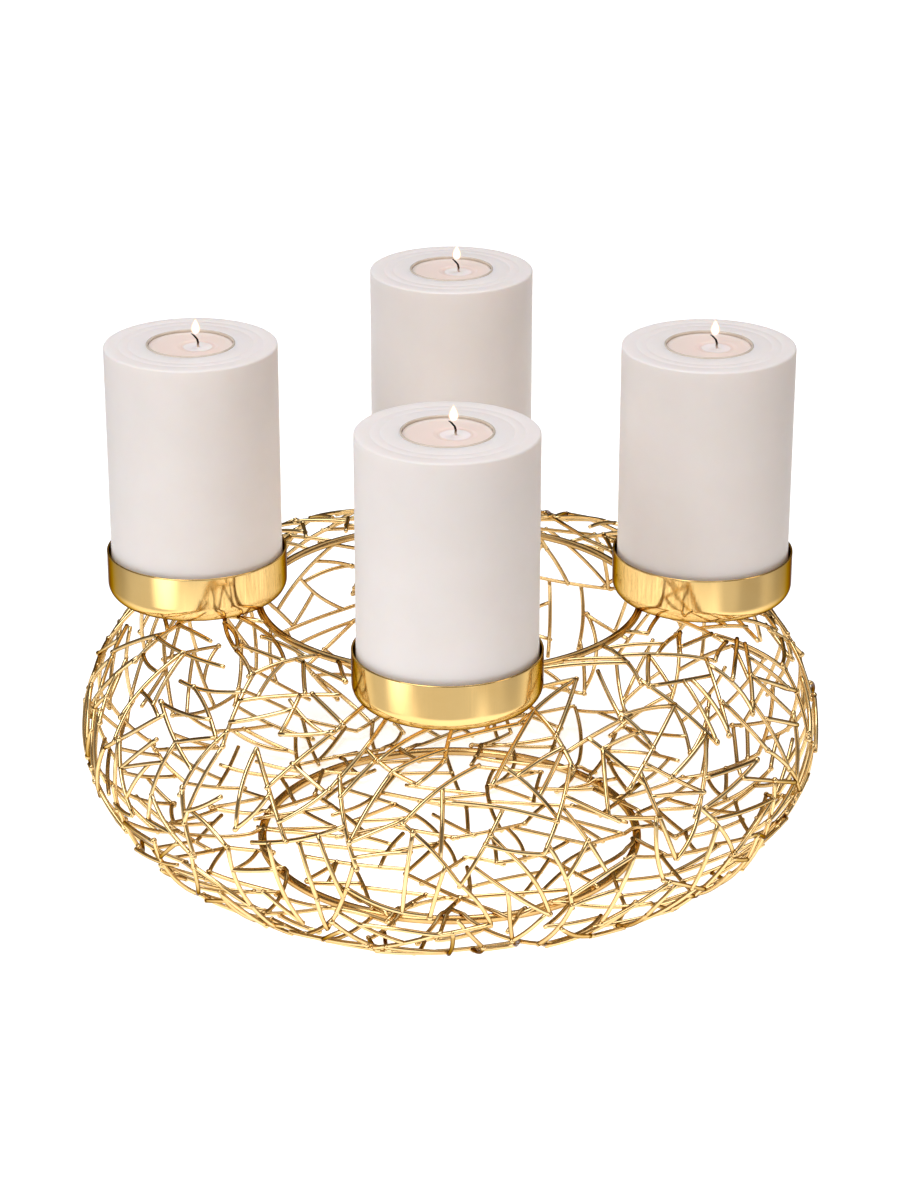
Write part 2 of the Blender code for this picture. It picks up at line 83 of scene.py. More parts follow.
# Nest: centre line of the wires on a squashed ring, from the upper hoop's edge round to the lower hoop, and
# on a flat bottom that lies on the lower hoop. In the solids a wire's section is a triangle: its corner
# radius, and how far its flat side stands out
WIRE_RADIUS = 0.00115
WIRE_FACE = 0.6 * WIRE_RADIUS
KEEP_APART = 2 * WIRE_RADIUS + GAP
NEST_RADIUS = 0.105
NEST_HALF_WIDTH = 0.0695
NEST_UPPER_EDGE = UPPER_HOOP_RADIUS + UPPER_ROD + GAP + WIRE_FACE
NEST_LOWER_EDGE = LOWER_HOOP_RADIUS + KEEP_APART / 2
NEST_BOTTOM_Z = 0.0036
NEST_TOP_Z = DISH_FLOOR_Z - GAP - WIRE_FACE
BOTTOM_RADIUS = LOWER_HOOP_RADIUS - KEEP_APART / 2
SECTORS = 12
BOTTOM = SECTORS
SECTOR_OVERLAP = math.radians(1.5)
SEAM_SWAY = math.radians(7)
SEAM_WAVES = 2

# Wires: how many, how long (least, most, usual), and how much they bend and stray (rad/m and rad)
GROWTH_ROUNDS = 19
BOTTOM_WIRES = 34
WIRE_LENGTHS = (0.022, 0.056, 0.036)
SHORTEST_WIRE = 0.012
BENT_FROM = 0.027
MOST_BEND = 6.0
STRAY = 0.45
SHARPEST_LEAVE = math.radians(38)

# The first wires, from hoop to hoop and across the bottom: how they lean, how long they are, and where on
# each the next one starts
RISE_START = math.radians(5)
RISE_HEADINGS = (0.36, 0.56)
RISE_LENGTHS = (0.036, 0.048)
RISE_SHARE = 0.85

# Where a wire may leave another, as shares of its length, in what steps, and how much further away than
# the nearest such place
ROOT_SHARES = (0.08, 0.90)
ROOT_SHARE_STEP = 0.12
ROOT_SLACK = 1.3
BESIDE = 0.05

# How a wire is laid: step along the surface, distances that count as met or clear, number of tries
OUTLINE_STEPS = 700
TRACK_STEP = 0.002
TOUCH = 0.0022
JOINT_REACH = 5 * WIRE_RADIUS
SAG = 0.00015
WIRE_SAMPLES = 24
TRIES = 16
EMPTY_DRAWS = 16
SCORE_STEP = 3
LENGTH_WORTH = 0.1
SEED = 26

# Heights of centre lines: the lower hoop's flat underside lies on z = 0, the bottom's wires lie on that
# hoop, and the dishes stand on the upper hoop
LOWER_HOOP_Z = LOWER_ROD * math.cos(math.pi / ROD_SIDES)
BOTTOM_Z = 2 * LOWER_HOOP_Z + GAP + WIRE_FACE
UPPER_HOOP_Z = DISH_FLOOR_Z - GAP - UPPER_ROD


def nest_outline():
    """The nest's cross-section from edge to edge: its length, and radius and height at even steps."""
    middle = (NEST_TOP_Z + NEST_BOTTOM_Z) / 2
    half_height = (NEST_TOP_Z - NEST_BOTTOM_Z) / 2
    first = math.acos((NEST_UPPER_EDGE - NEST_RADIUS) / NEST_HALF_WIDTH)
    last = math.acos((NEST_LOWER_EDGE - NEST_RADIUS) / NEST_HALF_WIDTH)
    turns = np.linspace(first, -last, OUTLINE_STEPS)
    radii = NEST_RADIUS + NEST_HALF_WIDTH * np.cos(turns)
    heights = middle + half_height * np.sin(turns)
    lengths = np.append(0.0, np.cumsum(np.hypot(np.diff(radii), np.diff(heights))))
    even = np.linspace(0.0, lengths[-1], OUTLINE_STEPS + 1)
    return lengths[-1], np.interp(even, lengths, radii), np.interp(even, lengths, heights)


GIRTH, RADII, HEIGHTS = nest_outline()
OUTLINE_STEP = GIRTH / OUTLINE_STEPS


def on_nest(run, around):
    """Point of the nest at a running length along its section and an angle round the wreath."""
    place = np.clip(run, 0.0, GIRTH) / OUTLINE_STEP
    rows = np.arange(OUTLINE_STEPS + 1)
    radius = np.interp(place, rows, RADII)
    height = np.interp(place, rows, HEIGHTS)
    return np.stack([radius * np.cos(around), radius * np.sin(around), height], axis=-1)


class Bulge:
    """The nest's side. A place on it is a running length along its section and an angle round the wreath."""

    first, last = 0.0, GIRTH

    def __init__(self, sector):
        self.sector = sector

    def points(self, places):
        return on_nest(places[..., 0], places[..., 1])

    def measure(self, run):
        """Radius of the nest there, and how much it widens along the section."""
        row = min(int(run / OUTLINE_STEP), OUTLINE_STEPS - 1)
        return RADII[row], (RADII[row + 1] - RADII[row]) / OUTLINE_STEP

    def holds(self, place):
        return 0.0 <= place[0] <= self.last

    def clip(self, place):
        return min(max(place[0], 0.0), self.last), place[1]

    def start(self, side):
        return 0.0, middle_of(self.sector, 0.0) - side * RISE_START

    def any_place(self, draw):
        """A random place of the sector, evenly spread over its area."""
        while True:
            run = GIRTH * draw.random()
            around = middle_of(self.sector, run) + draw.uniform(-1, 1) * math.pi / SECTORS
            if draw.random() * RADII.max() < RADII[int(run / OUTLINE_STEP)]:
                return run, around

    def within(self, line):
        """How many places of a track lie in the sector before it leaves it."""
        for step, (run, around) in enumerate(line):
            if abs(around - middle_of(self.sector, run)) > math.pi / SECTORS + SECTOR_OVERLAP:
                return step
        return len(line)


class Bottom:
    """The nest's flat bottom inside the lower hoop. A place on it is an x and a y."""

    first, last = -BOTTOM_RADIUS, BOTTOM_RADIUS

    def points(self, places):
        return np.concatenate([places, np.full(places.shape[:-1] + (1,), BOTTOM_Z)], axis=-1)

    def measure(self, run):
        return 1.0, 0.0

    def holds(self, place):
        return math.hypot(*place) <= BOTTOM_RADIUS

    def clip(self, place):
        share = min(1.0, BOTTOM_RADIUS / math.hypot(*place))
        return place[0] * share, place[1] * share

    def short_way(self, step):
        return step

    def start(self, side):
        return -BOTTOM_RADIUS, 0.0

    def any_place(self, draw):
        while True:
            place = draw.uniform(self.first, self.last), draw.uniform(self.first, self.last)
            if self.holds(place):
                return place

    def within(self, line):
        return len(line)


def track(form, place, heading, bend, length):
    """Follow a form's surface from a place, straight but for a slight bend; heading 0 runs along run.

    The track ends early where it comes to the form's edge.
    """
    run, around = place
    places = [(run, around)]
    for _ in range(int(length / TRACK_STEP)):
        radius, widening = form.measure(run)
        heading += TRACK_STEP * (bend - math.sin(heading) * widening / radius)
        run += TRACK_STEP * math.cos(heading)
        around += TRACK_STEP * math.sin(heading) / radius
        places.append(form.clip((run, around)))
        if not form.holds((run, around)):
            break
    return np.array(places)


def between(points, shares):
    """Points at shares of the way along evenly spaced points."""
    place = np.asarray(shares) * (len(points) - 1)
    row = np.clip(np.floor(place).astype(int), 0, len(points) - 2)
    part = (place - row)[..., None]
    return points[row] * (1 - part) + points[row + 1] * part


def corners(form, line, count):
    """The ends of a wire's few straight stretches, at even steps along its track."""
    return form.points(between(line, np.linspace(0.0, 1.0, count + 1)))


def distances(points, starts, ends):
    """Distance of each point to each straight stretch, and where on the stretch it is nearest."""
    span = ends - starts
    offset = points[:, None, :] - starts[None, :, :]
    share = np.clip((offset * span).sum(-1) / (span * span).sum(-1), 0.0, 1.0)
    return np.linalg.norm(offset - share[..., None] * span, axis=-1), share


def clear_of_hoops(points):
    """True if a wire along these points keeps its clearance to both hoops."""
    radii = np.hypot(points[:, 0], points[:, 1])
    above = np.hypot(radii - UPPER_HOOP_RADIUS, points[:, 2] - UPPER_HOOP_Z)
    below = np.hypot(radii - LOWER_HOOP_RADIUS, points[:, 2] - LOWER_HOOP_Z)
    reach = WIRE_FACE + GAP - SAG
    return above.min() > UPPER_ROD + reach and below.min() > LOWER_HOOP_Z + reach


def middle_of(sector, run):
    """Angle of a sector's middle; the seams between sectors sway with the running length."""
    sway = SEAM_SWAY * math.sin(SEAM_WAVES * math.tau * run / GIRTH)
    return math.tau * (sector + 0.5) / SECTORS - math.pi + sway


def turned_away(heading, own, least):
    """A heading that leaves a wire's own heading at no less than the least angle."""
    leave = (heading - own + math.pi / 2) % math.pi - math.pi / 2
    return heading + (math.copysign(least, leave) - leave) if abs(leave) < least else heading


class Nest:
    """Grows the wires one after another, each from the side of an earlier wire of its sector."""

    def __init__(self, seed):
        self.draw = random.Random(seed)
        self.forms = [Bulge(sector) for sector in range(SECTORS)] + [Bottom()]
        self.wires = []
        self.starts = np.zeros((0, 3))
        self.ends = np.zeros((0, 3))
        self.owner = np.zeros(0, dtype=int)
        self.sector_of = np.zeros(0, dtype=int)

    def lay(self, sector, line, points):
        """Keep a wire; its stretches are what later wires meet."""
        count = len(points) - 1
        self.starts = np.concatenate([self.starts, points[:-1]])
        self.ends = np.concatenate([self.ends, points[1:]])
        self.owner = np.append(self.owner, [len(self.wires)] * count)
        self.sector_of = np.append(self.sector_of, [sector] * count)
        self.wires.append({"sector": sector, "line": line, "points": points})

    def rise(self, sector):
        """A sector's first wires: a broken line from hoop to hoop, or across the bottom."""
        form = self.forms[sector]
        side = self.draw.choice((-1, 1))
        place, root = form.start(side), None
        while True:
            heading = side * self.draw.uniform(*RISE_HEADINGS)
            length = self.draw.uniform(*RISE_LENGTHS)
            last = place[0] + RISE_SHARE * length > form.last - SHORTEST_WIRE
            line = track(form, place, heading, 0.0, form.last - form.first if last else length)
            points = corners(form, line, 2)
            if root is not None:
                points[0] = root
            self.lay(sector, line, points)
            if last:
                return
            place = between(line, RISE_SHARE)
            root = between(points, RISE_SHARE)
            side = -side

    def emptiest(self, form):
        """The place of a form, out of some random ones, that is furthest from any wire."""
        places = np.array([form.any_place(self.draw) for _ in range(EMPTY_DRAWS)])
        apart, _ = distances(form.points(places), self.starts, self.ends)
        return places[int(apart.min(axis=1).argmax())]

    def root(self, sector, goal):
        """The wire of a sector, and the share along it, that lies about nearest to a point."""
        picks = []
        for index, wire in enumerate(self.wires):
            if wire["sector"] == sector:
                for share in np.arange(ROOT_SHARES[0], ROOT_SHARES[1], ROOT_SHARE_STEP):
                    share += self.draw.uniform(0.0, ROOT_SHARE_STEP)
                    apart = np.linalg.norm(between(wire["points"], share) - goal)
                    picks.append((apart * self.draw.uniform(1.0, ROOT_SLACK), index, share))
        return min(picks)[1:]

    def propose(self, sector):
        """A wire that leaves the side of an earlier one towards an empty place, until it meets another."""
        form = self.forms[sector]
        target = self.emptiest(form)
        parent_index, share = self.root(sector, form.points(target))
        parent = self.wires[parent_index]

        before, here, after = between(parent["line"], [share - BESIDE, share, share + BESIDE])
        radius, _ = form.measure(here[0])
        own = math.atan2((after[1] - before[1]) * radius, after[0] - before[0])
        middle_radius = (radius + form.measure(target[0])[0]) / 2
        heading = math.atan2((target[1] - here[1]) * middle_radius, target[0] - here[0])
        heading += self.draw.uniform(-STRAY, STRAY)
        heading = turned_away(heading, own, SHARPEST_LEAVE)
        bend = self.draw.uniform(-MOST_BEND, MOST_BEND)
        line = track(form, here, heading, bend, self.draw.triangular(*WIRE_LENGTHS))
        line = line[:form.within(line)]
        if len(line) * TRACK_STEP < SHORTEST_WIRE:
            return None
        line, met = self.until_met(line, sector, parent_index)
        if len(line) * TRACK_STEP < SHORTEST_WIRE:
            return None

        points = corners(form, line, 2 if len(line) * TRACK_STEP > BENT_FROM else 1)
        points[0] = between(parent["points"], share)
        if met:
            stretch, along = met
            points[-1] = self.starts[stretch] + along * (self.ends[stretch] - self.starts[stretch])
        if not self.free(points, parent_index, sector, met):
            return None
        return line, points, self.score(form, line)

    def until_met(self, line, sector, parent_index):
        """A track cut where it comes to another wire, and the stretch met if it is the sector's own."""
        apart, shares = distances(self.forms[sector].points(line), self.starts, self.ends)
        foreign = self.sector_of != sector
        apart[:int(JOINT_REACH / TRACK_STEP)] = 1.0
        apart[:, self.owner == parent_index] = 1.0
        near = np.where(foreign[None, :], apart < KEEP_APART + GAP, apart < TOUCH)
        if not near.any():
            return line, None
        step = int(np.argmax(near.any(axis=1)))
        stretch = int(np.argmin(np.where(near[step], apart[step], 1.0)))
        if foreign[stretch]:
            return line[:step], None
        return line[:step + 1], (stretch, shares[step, stretch])

    def free(self, points, parent_index, sector, met):
        """True if the wire touches nothing but the wires at its two ends."""
        shares = np.linspace(0.0, 1.0, WIRE_SAMPLES)
        samples = between(points, shares)
        if not clear_of_hoops(samples):
            return False
        length = np.linalg.norm(np.diff(points, axis=0), axis=1).sum()
        apart, _ = distances(samples, self.starts, self.ends)
        at_start = shares * length < JOINT_REACH
        apart[np.ix_(at_start, self.owner == parent_index)] = 1.0
        if met:
            at_end = (1 - shares) * length < JOINT_REACH
            apart[np.ix_(at_end, self.owner == self.owner[met[0]])] = 1.0
        return apart.min() > KEEP_APART

    def score(self, form, line):
        """How empty the stretch is that a wire would fill."""
        apart, _ = distances(form.points(line[SCORE_STEP::SCORE_STEP]), self.starts, self.ends)
        return apart.min(axis=1).mean() + LENGTH_WORTH * len(line) * TRACK_STEP

    def grow(self, rounds, bottom_wires):
        """Start each sector at the hoops, then let all in turn add the best of a few proposed wires."""
        for sector in range(SECTORS + 1):
            self.rise(sector)
        for sector in list(range(SECTORS)) * rounds + [BOTTOM] * bottom_wires:
            proposed = [self.propose(sector) for _ in range(TRIES)]
            found = [wire for wire in proposed if wire]
            if found:
                line, points, _ = max(found, key=lambda wire: wire[2])
                self.lay(sector, line, points)


# Fine wires: true radius and how much it varies, sides, step along them, and the seeds of their draws
FINE_RADIUS = 0.00104
RADIUS_SHARES = (0.96, 1.04)
FINE_SIDES = 8
FINE_STEP = 0.0035
WEAVE_SEED = 7
SHAPE_SEED = 11

# Further wires: how many, how long (least, most, usual), and how much they stray and bend
MORE_WIRES = 385
MORE_LENGTHS = (0.018, 0.060, 0.040)
MORE_SHORTEST = 0.009
MORE_STRAY = 0.7
MORE_BEND = 8.0
MORE_LEAVE = math.radians(28)

# How a further wire is found: numbers of draws and of places to start from, the share that starts at a
# wire's end, the steps left out at its own joint, and the distance that counts as met
MORE_TRIES = 8
PLACE_DRAWS = 60
NEAREST = 24
CORNER_SHARE = 0.30
JOINT_STEPS = 3
MORE_TOUCH = 0.0014
CROSSING_SHARE = 0.18

# What a proposed wire is worth: its distance from others up to a widest one, its length, and its joint at
# the far end, less the share of it that is crowded
WIDEST_GAP = 0.02
MORE_LENGTH_WORTH = 0.08
JOINED_WORTH = 0.005
CROWDED = 0.0035
CROWDING = 0.012

# Some wires run on past the wire that they meet, and those at the lower hoop lie across it
OVERSHOOT_SHARE = 0.25
OVERSHOOTS = (0.0005, 0.0020)
LONG_SHARE = 0.14
LONG_OVERSHOOTS = (0.004, 0.009)
HOOP_REACH = 0.0008
HOOP_CROSSINGS = (0.001, 0.009)
HOOP_LIFT = 0.0006
HOOP_LIFT_WIDTH = 0.006

# Bottom: how far the side's wires reach in over it, and the share of the draws that fall on it
BOTTOM_MARGIN = 0.045
BOTTOM_DRAWS = 0.12

# A wire's course: most straightening, sideways bow, how far its ends move to a wire that is there already or
# is still to come, how far they stand off it, and its lowest and highest points
STRAIGHTENING = 0.5
BOW = 0.0011
SNAP_REACH = 0.0046
LATE_REACH = 0.007
CROSSING_LIFT = 0.0017
JOINT_LIFTS = (-0.0006, 0.0012)
HOOP_HOLD = UPPER_ROD + 0.4 * FINE_RADIUS
CLEARANCE = 0.0001
LOWEST_WIRE = FINE_RADIUS + CLEARANCE
HIGHEST_WIRE = DISH_FLOOR_Z - FINE_RADIUS - CLEARANCE

# A wire's rounded tip, as shares of its radius: length and size of its end
TIP_LENGTH = 0.35
TIP_SIZE = 0.62

# Solder: share of the joints with a blob, its radii, how drawn out it is, its rings and sides, and its
# place from the wire met to the wire's own end
BEAD_SHARE = 0.55
BEAD_RADII = (0.00110, 0.00155)
BEAD_STRETCH = (0.8, 1.4)
BEAD_ROWS = 5
BEAD_SIDES = 8
BEAD_PLACE = 0.55

# Smoothness of what is spun: segments round, and the hoops' rods
SPUN_SEGMENTS = 128
CUP_SEGMENTS = 96
FLAME_SEGMENTS = 32
HOOP_SEGMENTS = 240
FINE_ROD_SIDES = 20

# Candle: rings turned in its top (radius, depth) and their half widths, the recess's slack and rounded
# mouth, and the spacing of the loops on its side
TURNED_RINGS = ((0.0332, 0.00012), (0.0287, 0.00010))
RING_HALF_WIDTHS = (0.0006, 0.0002)
RECESS_SLACK = 0.0002
MOUTH_BEVEL = 0.0003
SIDE_LOOP_STEP = 0.0095

# Clear cup: wall and the radius of its rolled lip
FINE_CUP_WALL = 0.0006
LIP_RADIUS = 0.00055

# Tealight wax: the melted pool's place, radius and depth, the raised edge, and the rise at the wick
POOL_PLACE = (0.0033, 0.0004)
POOL_RADIUS = 0.0075
POOL_DEPTH = 0.00045
WAX_RISE = 0.0005
WAX_SIDES = 64
WAX_RINGS = 40

# Wick and flame: how far the wick reaches down into the wax, its strands and twist, the flame's size and
# place at the wick, and its layers (name, look, shares of width and height, lift)
WICK_ROOT = 0.002
WICK_RINGS = 26
FINE_WICK_SIDES = 12
STRANDS = 3
TWIST = 9.0
FLAME_HEIGHT = 0.0078
FLAME_WIDTH = 0.0047
FLAME_STEPS = 16
FLAME_ASIDE = -0.0009
FLAME_LEVEL = 0.92
FLAME_LAYERS = (("flame", "flame", 1.0, 1.0, 0.0), ("flame_core", "core", 0.78, 0.88, 0.0004))

# Floor: its glow is painted light, bright where the camera sees it and softer beyond, with a painted glowing
# stretch in front; pools (x, y, radius, power) are painted pools of light, or of painted shade where the
# power is below zero
FLOOR_NEAR = -0.35
FLOOR_SIDE = 0.24
FLOOR_SPREAD = 0.13
FLOOR_FADE = 0.26
FRONT_FADE = 0.08
FADE_WIDENS = (-0.20, 0.05)
BRIGHT_FLOOR = 0.80
FAR_FLOOR = 0.30
FRONT_PAINTED_GLOW = 0.24
FRONT_ENDS = (-0.05, 0.10)
FRONT_SIDES = (0.45, 0.65)
FAR_RISES = (0.15, 1.2)
PAINTED_POOL_CORE = 0.35
FLOOR_HALF = 6.0
PAINTED_LIGHT_AND_SHADE_POOLS = ((-0.38, -0.37, 0.17, 2.0), (0.44, -0.20, 0.16, -0.24), (0.22, -0.52, 0.09, 0.5))

CAMERA_PLACE = (0.0109, -1.4248, 0.7173)
CAMERA_TURN = (math.radians(67.39), 0.0, math.radians(0.43))
CAMERA_LENS = 98.04
QUARTERS = {"front": -90, "right": 0, "back": 90, "left": 180}


class Shell(Bulge):
    """The nest's side and, over the lower hoop, the outer part of its bottom, as one surface."""

    last = GIRTH + BOTTOM_MARGIN

    def points(self, places):
        run, around = places[..., 0], places[..., 1]
        side = on_nest(run, around)
        inward = np.maximum(run - GIRTH, 0.0)
        return side - np.stack([inward * np.cos(around), inward * np.sin(around), 0 * inward], axis=-1)

    def measure(self, run):
        if run < GIRTH:
            return super().measure(run)
        return NEST_LOWER_EDGE - (run - GIRTH), -1.0

    def short_way(self, turn):
        """The same turn the short way round the wreath."""
        return (turn + math.pi) % math.tau - math.pi


def in_terms_of(form, own, place):
    """A place of one form in the terms of another; the two share the nest's bottom."""
    if isinstance(form, Bottom) == isinstance(own, Bottom):
        return place
    x, y, _ = own.points(np.array(place))
    if isinstance(form, Bottom):
        return x, y
    return GIRTH + NEST_LOWER_EDGE - math.hypot(x, y), math.atan2(y, x)


class Weave:
    """The coarse wires as smooth tracks, and the further wires that divide the gaps between them."""

    def __init__(self, nest, seed):
        self.draw = random.Random(seed)
        self.shell, self.bottom = Shell(0), Bottom()
        self.wires = []
        for wire in nest.wires:
            form = self.bottom if wire["sector"] == BOTTOM else self.shell
            self.keep(form, wire["line"], wire["sector"], False)

    def keep(self, form, line, sector, crossing):
        points = form.points(line)
        self.wires.append({"form": form, "line": line, "sector": sector, "crossing": crossing,
                           "points": points})
        self.places = np.concatenate([wire["points"] for wire in self.wires])
        self.owners = np.concatenate([[i] * len(wire["line"]) for i, wire in enumerate(self.wires)])
        self.rows = np.concatenate([np.arange(len(wire["line"])) for wire in self.wires])

    def emptiest(self):
        """The form and the place, out of some random ones, that is furthest from any wire."""
        best = None
        for _ in range(PLACE_DRAWS):
            if self.draw.random() < BOTTOM_DRAWS:
                form, place = self.bottom, self.bottom.any_place(self.draw)
            else:
                run = GIRTH * self.draw.random()
                if self.draw.random() * RADII.max() > RADII[int(run / OUTLINE_STEP)]:
                    continue
                form, place = self.shell, (run, self.draw.uniform(-math.pi, math.pi))
            goal = form.points(np.array(place))
            apart = np.linalg.norm(self.places - goal, axis=1).min()
            if best is None or apart > best[0]:
                best = apart, form, place, goal
        _, form, place, goal = best
        if form is self.bottom and math.hypot(*place) > NEST_LOWER_EDGE - BOTTOM_MARGIN:
            place, form = in_terms_of(self.shell, form, place), self.shell
        return form, place, goal

    def propose(self, form, target, goal):
        """A track from the side of a wire near an empty place, across it, to the next wire."""
        draw = self.draw
        near = np.argpartition(np.linalg.norm(self.places - goal, axis=1), NEAREST)[:NEAREST]
        pick = int(near[draw.randrange(NEAREST)])
        owner, row = int(self.owners[pick]), int(self.rows[pick])
        parent = self.wires[owner]
        last = len(parent["line"]) - 1
        if draw.random() < CORNER_SHARE:
            row = 0 if row < last / 2 else last
        here, before, after = [in_terms_of(form, parent["form"], parent["line"][place])
                               for place in (row, max(row - 1, 0), min(row + 1, last))]
        if not form.holds(here):
            return None
        radius = form.measure(here[0])[0]
        own = math.atan2(form.short_way(after[1] - before[1]) * radius, after[0] - before[0])
        heading = math.atan2(form.short_way(target[1] - here[1]) * radius, target[0] - here[0])
        heading += draw.uniform(-MORE_STRAY, MORE_STRAY)
        heading = turned_away(heading, own, MORE_LEAVE)
        line = track(form, here, heading, draw.gauss(0.0, MORE_BEND), draw.triangular(*MORE_LENGTHS))
        points = form.points(line)
        if not clear_of_hoops(points):
            return None
        close = np.linalg.norm(self.places - points[0], axis=1) < MORE_LENGTHS[1]
        others = self.places[close & (self.owners != owner)]
        apart = np.linalg.norm(points[:, None, :] - others[None, :, :], axis=-1).min(axis=1)
        apart[:JOINT_STEPS] = 1.0
        met = np.nonzero(apart < MORE_TOUCH)[0]
        crossing = draw.random() < CROSSING_SHARE
        if len(met):
            stop = int(met[0])
            if crossing:
                later = met[met > stop + JOINT_STEPS]
                stop = int(later[0]) if len(later) else len(line) - 1
            line = line[:stop + 1]
        else:
            crossing = False
        spread = apart[JOINT_STEPS:len(line)]
        if len(line) * TRACK_STEP < MORE_SHORTEST or not len(spread):
            return None
        worth = MORE_LENGTH_WORTH * len(line) * TRACK_STEP + (JOINED_WORTH if len(met) else 0.0)
        if len(spread) > 2:
            worth += np.minimum(spread, WIDEST_GAP).mean() - CROWDING * (spread[:-2] < CROWDED).mean()
        return form, line, crossing, float(worth)

    def divide(self, count):
        for _ in range(count):
            goal = self.emptiest()
            found = [self.propose(*goal) for _ in range(MORE_TRIES)]
            found = [wire for wire in found if wire]
            if found:
                form, line, crossing, _ = max(found, key=lambda wire: wire[3])
                if form is self.bottom or line[-1][0] > LONG_OVERSHOOTS[1]:
                    line = self.past_end(line)
                middle = form.points(line[len(line) // 2])
                self.keep(form, line, self.sector_at(middle), crossing)

    def past_end(self, line):
        """Let some wires run on a little past the wire that they meet."""
        kind = self.draw.random()
        if kind > OVERSHOOT_SHARE + LONG_SHARE:
            return line
        steps = self.draw.uniform(*(OVERSHOOTS if kind < OVERSHOOT_SHARE else LONG_OVERSHOOTS)) / TRACK_STEP
        tip = line[-1] + steps * (line[-1] - line[-2])
        return np.vstack([line, tip])

    def sector_at(self, point):
        if math.hypot(point[0], point[1]) < NEST_LOWER_EDGE and point[2] < NEST_TOP_Z / 2:
            return BOTTOM
        return int((math.atan2(point[1], point[0]) + math.pi) / math.tau * SECTORS) % SECTORS


def outward_of(points):
    """Directions out of the nest at points on it."""
    around = np.arctan2(points[:, 1], points[:, 0])
    reach = np.hypot(points[:, 0], points[:, 1])
    out = (reach - NEST_RADIUS) / NEST_HALF_WIDTH ** 2
    half_height = (NEST_TOP_Z - NEST_BOTTOM_Z) / 2
    up = (points[:, 2] - NEST_BOTTOM_Z - half_height) / half_height ** 2
    out = np.where((reach < NEST_LOWER_EDGE) & (up < 0), 0.0, out)
    way = np.stack([out * np.cos(around), out * np.sin(around), up], axis=-1)
    return way / np.linalg.norm(way, axis=1)[:, None]


def over_hoop(points):
    """Lift the points of a wire where it passes over the lower hoop."""
    apart = np.hypot(points[:, 0], points[:, 1]) - LOWER_HOOP_RADIUS
    low = points[:, 2] < NEST_TOP_Z / 2
    points[:, 2] += np.where(low, HOOP_LIFT * np.exp(-(apart / HOOP_LIFT_WIDTH) ** 2), 0.0)


def on_hoop(form, place, point):
    """Where a wire that comes to the upper hoop lies on it, or None."""
    if isinstance(form, Bottom) or place[0] > HOOP_REACH:
        return None
    around = math.atan2(point[1], point[0])
    centre = np.array([UPPER_HOOP_RADIUS * math.cos(around), UPPER_HOOP_RADIUS * math.sin(around),
                       UPPER_HOOP_Z])
    way = point - centre
    return centre + way / np.linalg.norm(way) * HOOP_HOLD


def run_over(form, line, draw):
    """Let a wire that stops at the lower hoop lie across it."""
    for end in (0, -1):
        if isinstance(form, Bottom):
            edge = math.hypot(*line[end]) > BOTTOM_RADIUS - HOOP_REACH
        else:
            edge = abs(line[end][0] - GIRTH) < HOOP_REACH
        if edge:
            steps = draw.uniform(*HOOP_CROSSINGS) / TRACK_STEP
            inner = line[1] if end == 0 else line[-2]
            tip = line[end] + steps * (line[end] - inner)
            line = np.vstack([tip, line]) if end == 0 else np.vstack([line, tip])
    return line


def held_by_wire(weave, placed, number, point, way, draw):
    """Where a wire's end lies on a wire near it, one that is shaped already or is still to come, or None."""
    if not len(placed):
        return None
    apart = np.linalg.norm(placed - point, axis=1)
    nearest = int(apart.argmin())
    if apart[nearest] < SNAP_REACH:
        lift = CROSSING_LIFT if weave.wires[number]["crossing"] else draw.uniform(*JOINT_LIFTS)
        return placed[nearest] + way * lift
    later = weave.places[weave.owners > number]
    apart = np.linalg.norm(later - point, axis=1)
    return later[int(apart.argmin())] if len(later) and apart.min() < LATE_REACH else None


def shape_wires(weave, draw):
    """Turn each track into the course of a real wire; its ends lie on or in the wires it meets."""
    courses, beads = [], []
    placed = np.zeros((0, 3))
    for number, wire in enumerate(weave.wires):
        form = wire["form"]
        line = run_over(form, wire["line"], draw)
        length = len(line) * TRACK_STEP
        count = max(4, int(length / FINE_STEP) + 1)
        shares = np.linspace(0.0, 1.0, count)[:, None]
        surface = form.points(between(line, shares[:, 0]))
        over_hoop(surface)
        chord = surface[0] * (1 - shares) + surface[-1] * shares
        straight = draw.uniform(0.0, STRAIGHTENING)
        course = surface * (1 - straight) + chord * straight
        ways = outward_of(surface)
        aside = np.cross(ways[count // 2], surface[-1] - surface[0])
        bow = draw.gauss(0.0, BOW) * length / MORE_LENGTHS[2]
        course += np.sin(math.pi * shares) * bow * aside / np.linalg.norm(aside)
        ends = []
        for index, fade in ((0, 1 - shares), (-1, shares)):
            held = on_hoop(form, line[index], surface[index])
            if held is None:
                held = held_by_wire(weave, placed, number, surface[index], ways[index], draw)
            if held is not None:
                course = course + fade * (held - course[index])
                ends.append((held, index))
        at_hoop = np.abs(np.hypot(course[:, 0], course[:, 1]) - LOWER_HOOP_RADIUS) < LOWER_ROD + FINE_RADIUS
        lowest = np.where(at_hoop, 2 * LOWER_ROD + FINE_RADIUS, LOWEST_WIRE)
        course[:, 2] = np.clip(course[:, 2], lowest, HIGHEST_WIRE)
        for held, index in ends:
            beads.append((held * (1 - BEAD_PLACE) + course[index] * BEAD_PLACE, course[1] - course[0]))
        placed = np.vstack([placed, between(course, np.linspace(0.0, 1.0, 4 * count))])
        courses.append(course)
    return courses, beads


def quads(rings, sides, start=0):
    """Faces of a tube, from ring to ring of its vertices."""
    faces = []
    for i in range(rings - 1):
        a, b = start + i * sides, start + (i + 1) * sides
        for k in range(sides):
            j = (k + 1) % sides
            faces.append((a + k, a + j, b + j, b + k))
    return faces


def closed_tube(rings, sides, start=0):
    """Faces of a tube with a face at each end."""
    last = start + (rings - 1) * sides
    caps = [tuple(start + k for k in range(sides))[::-1], tuple(last + k for k in range(sides))]
    return quads(rings, sides, start) + caps


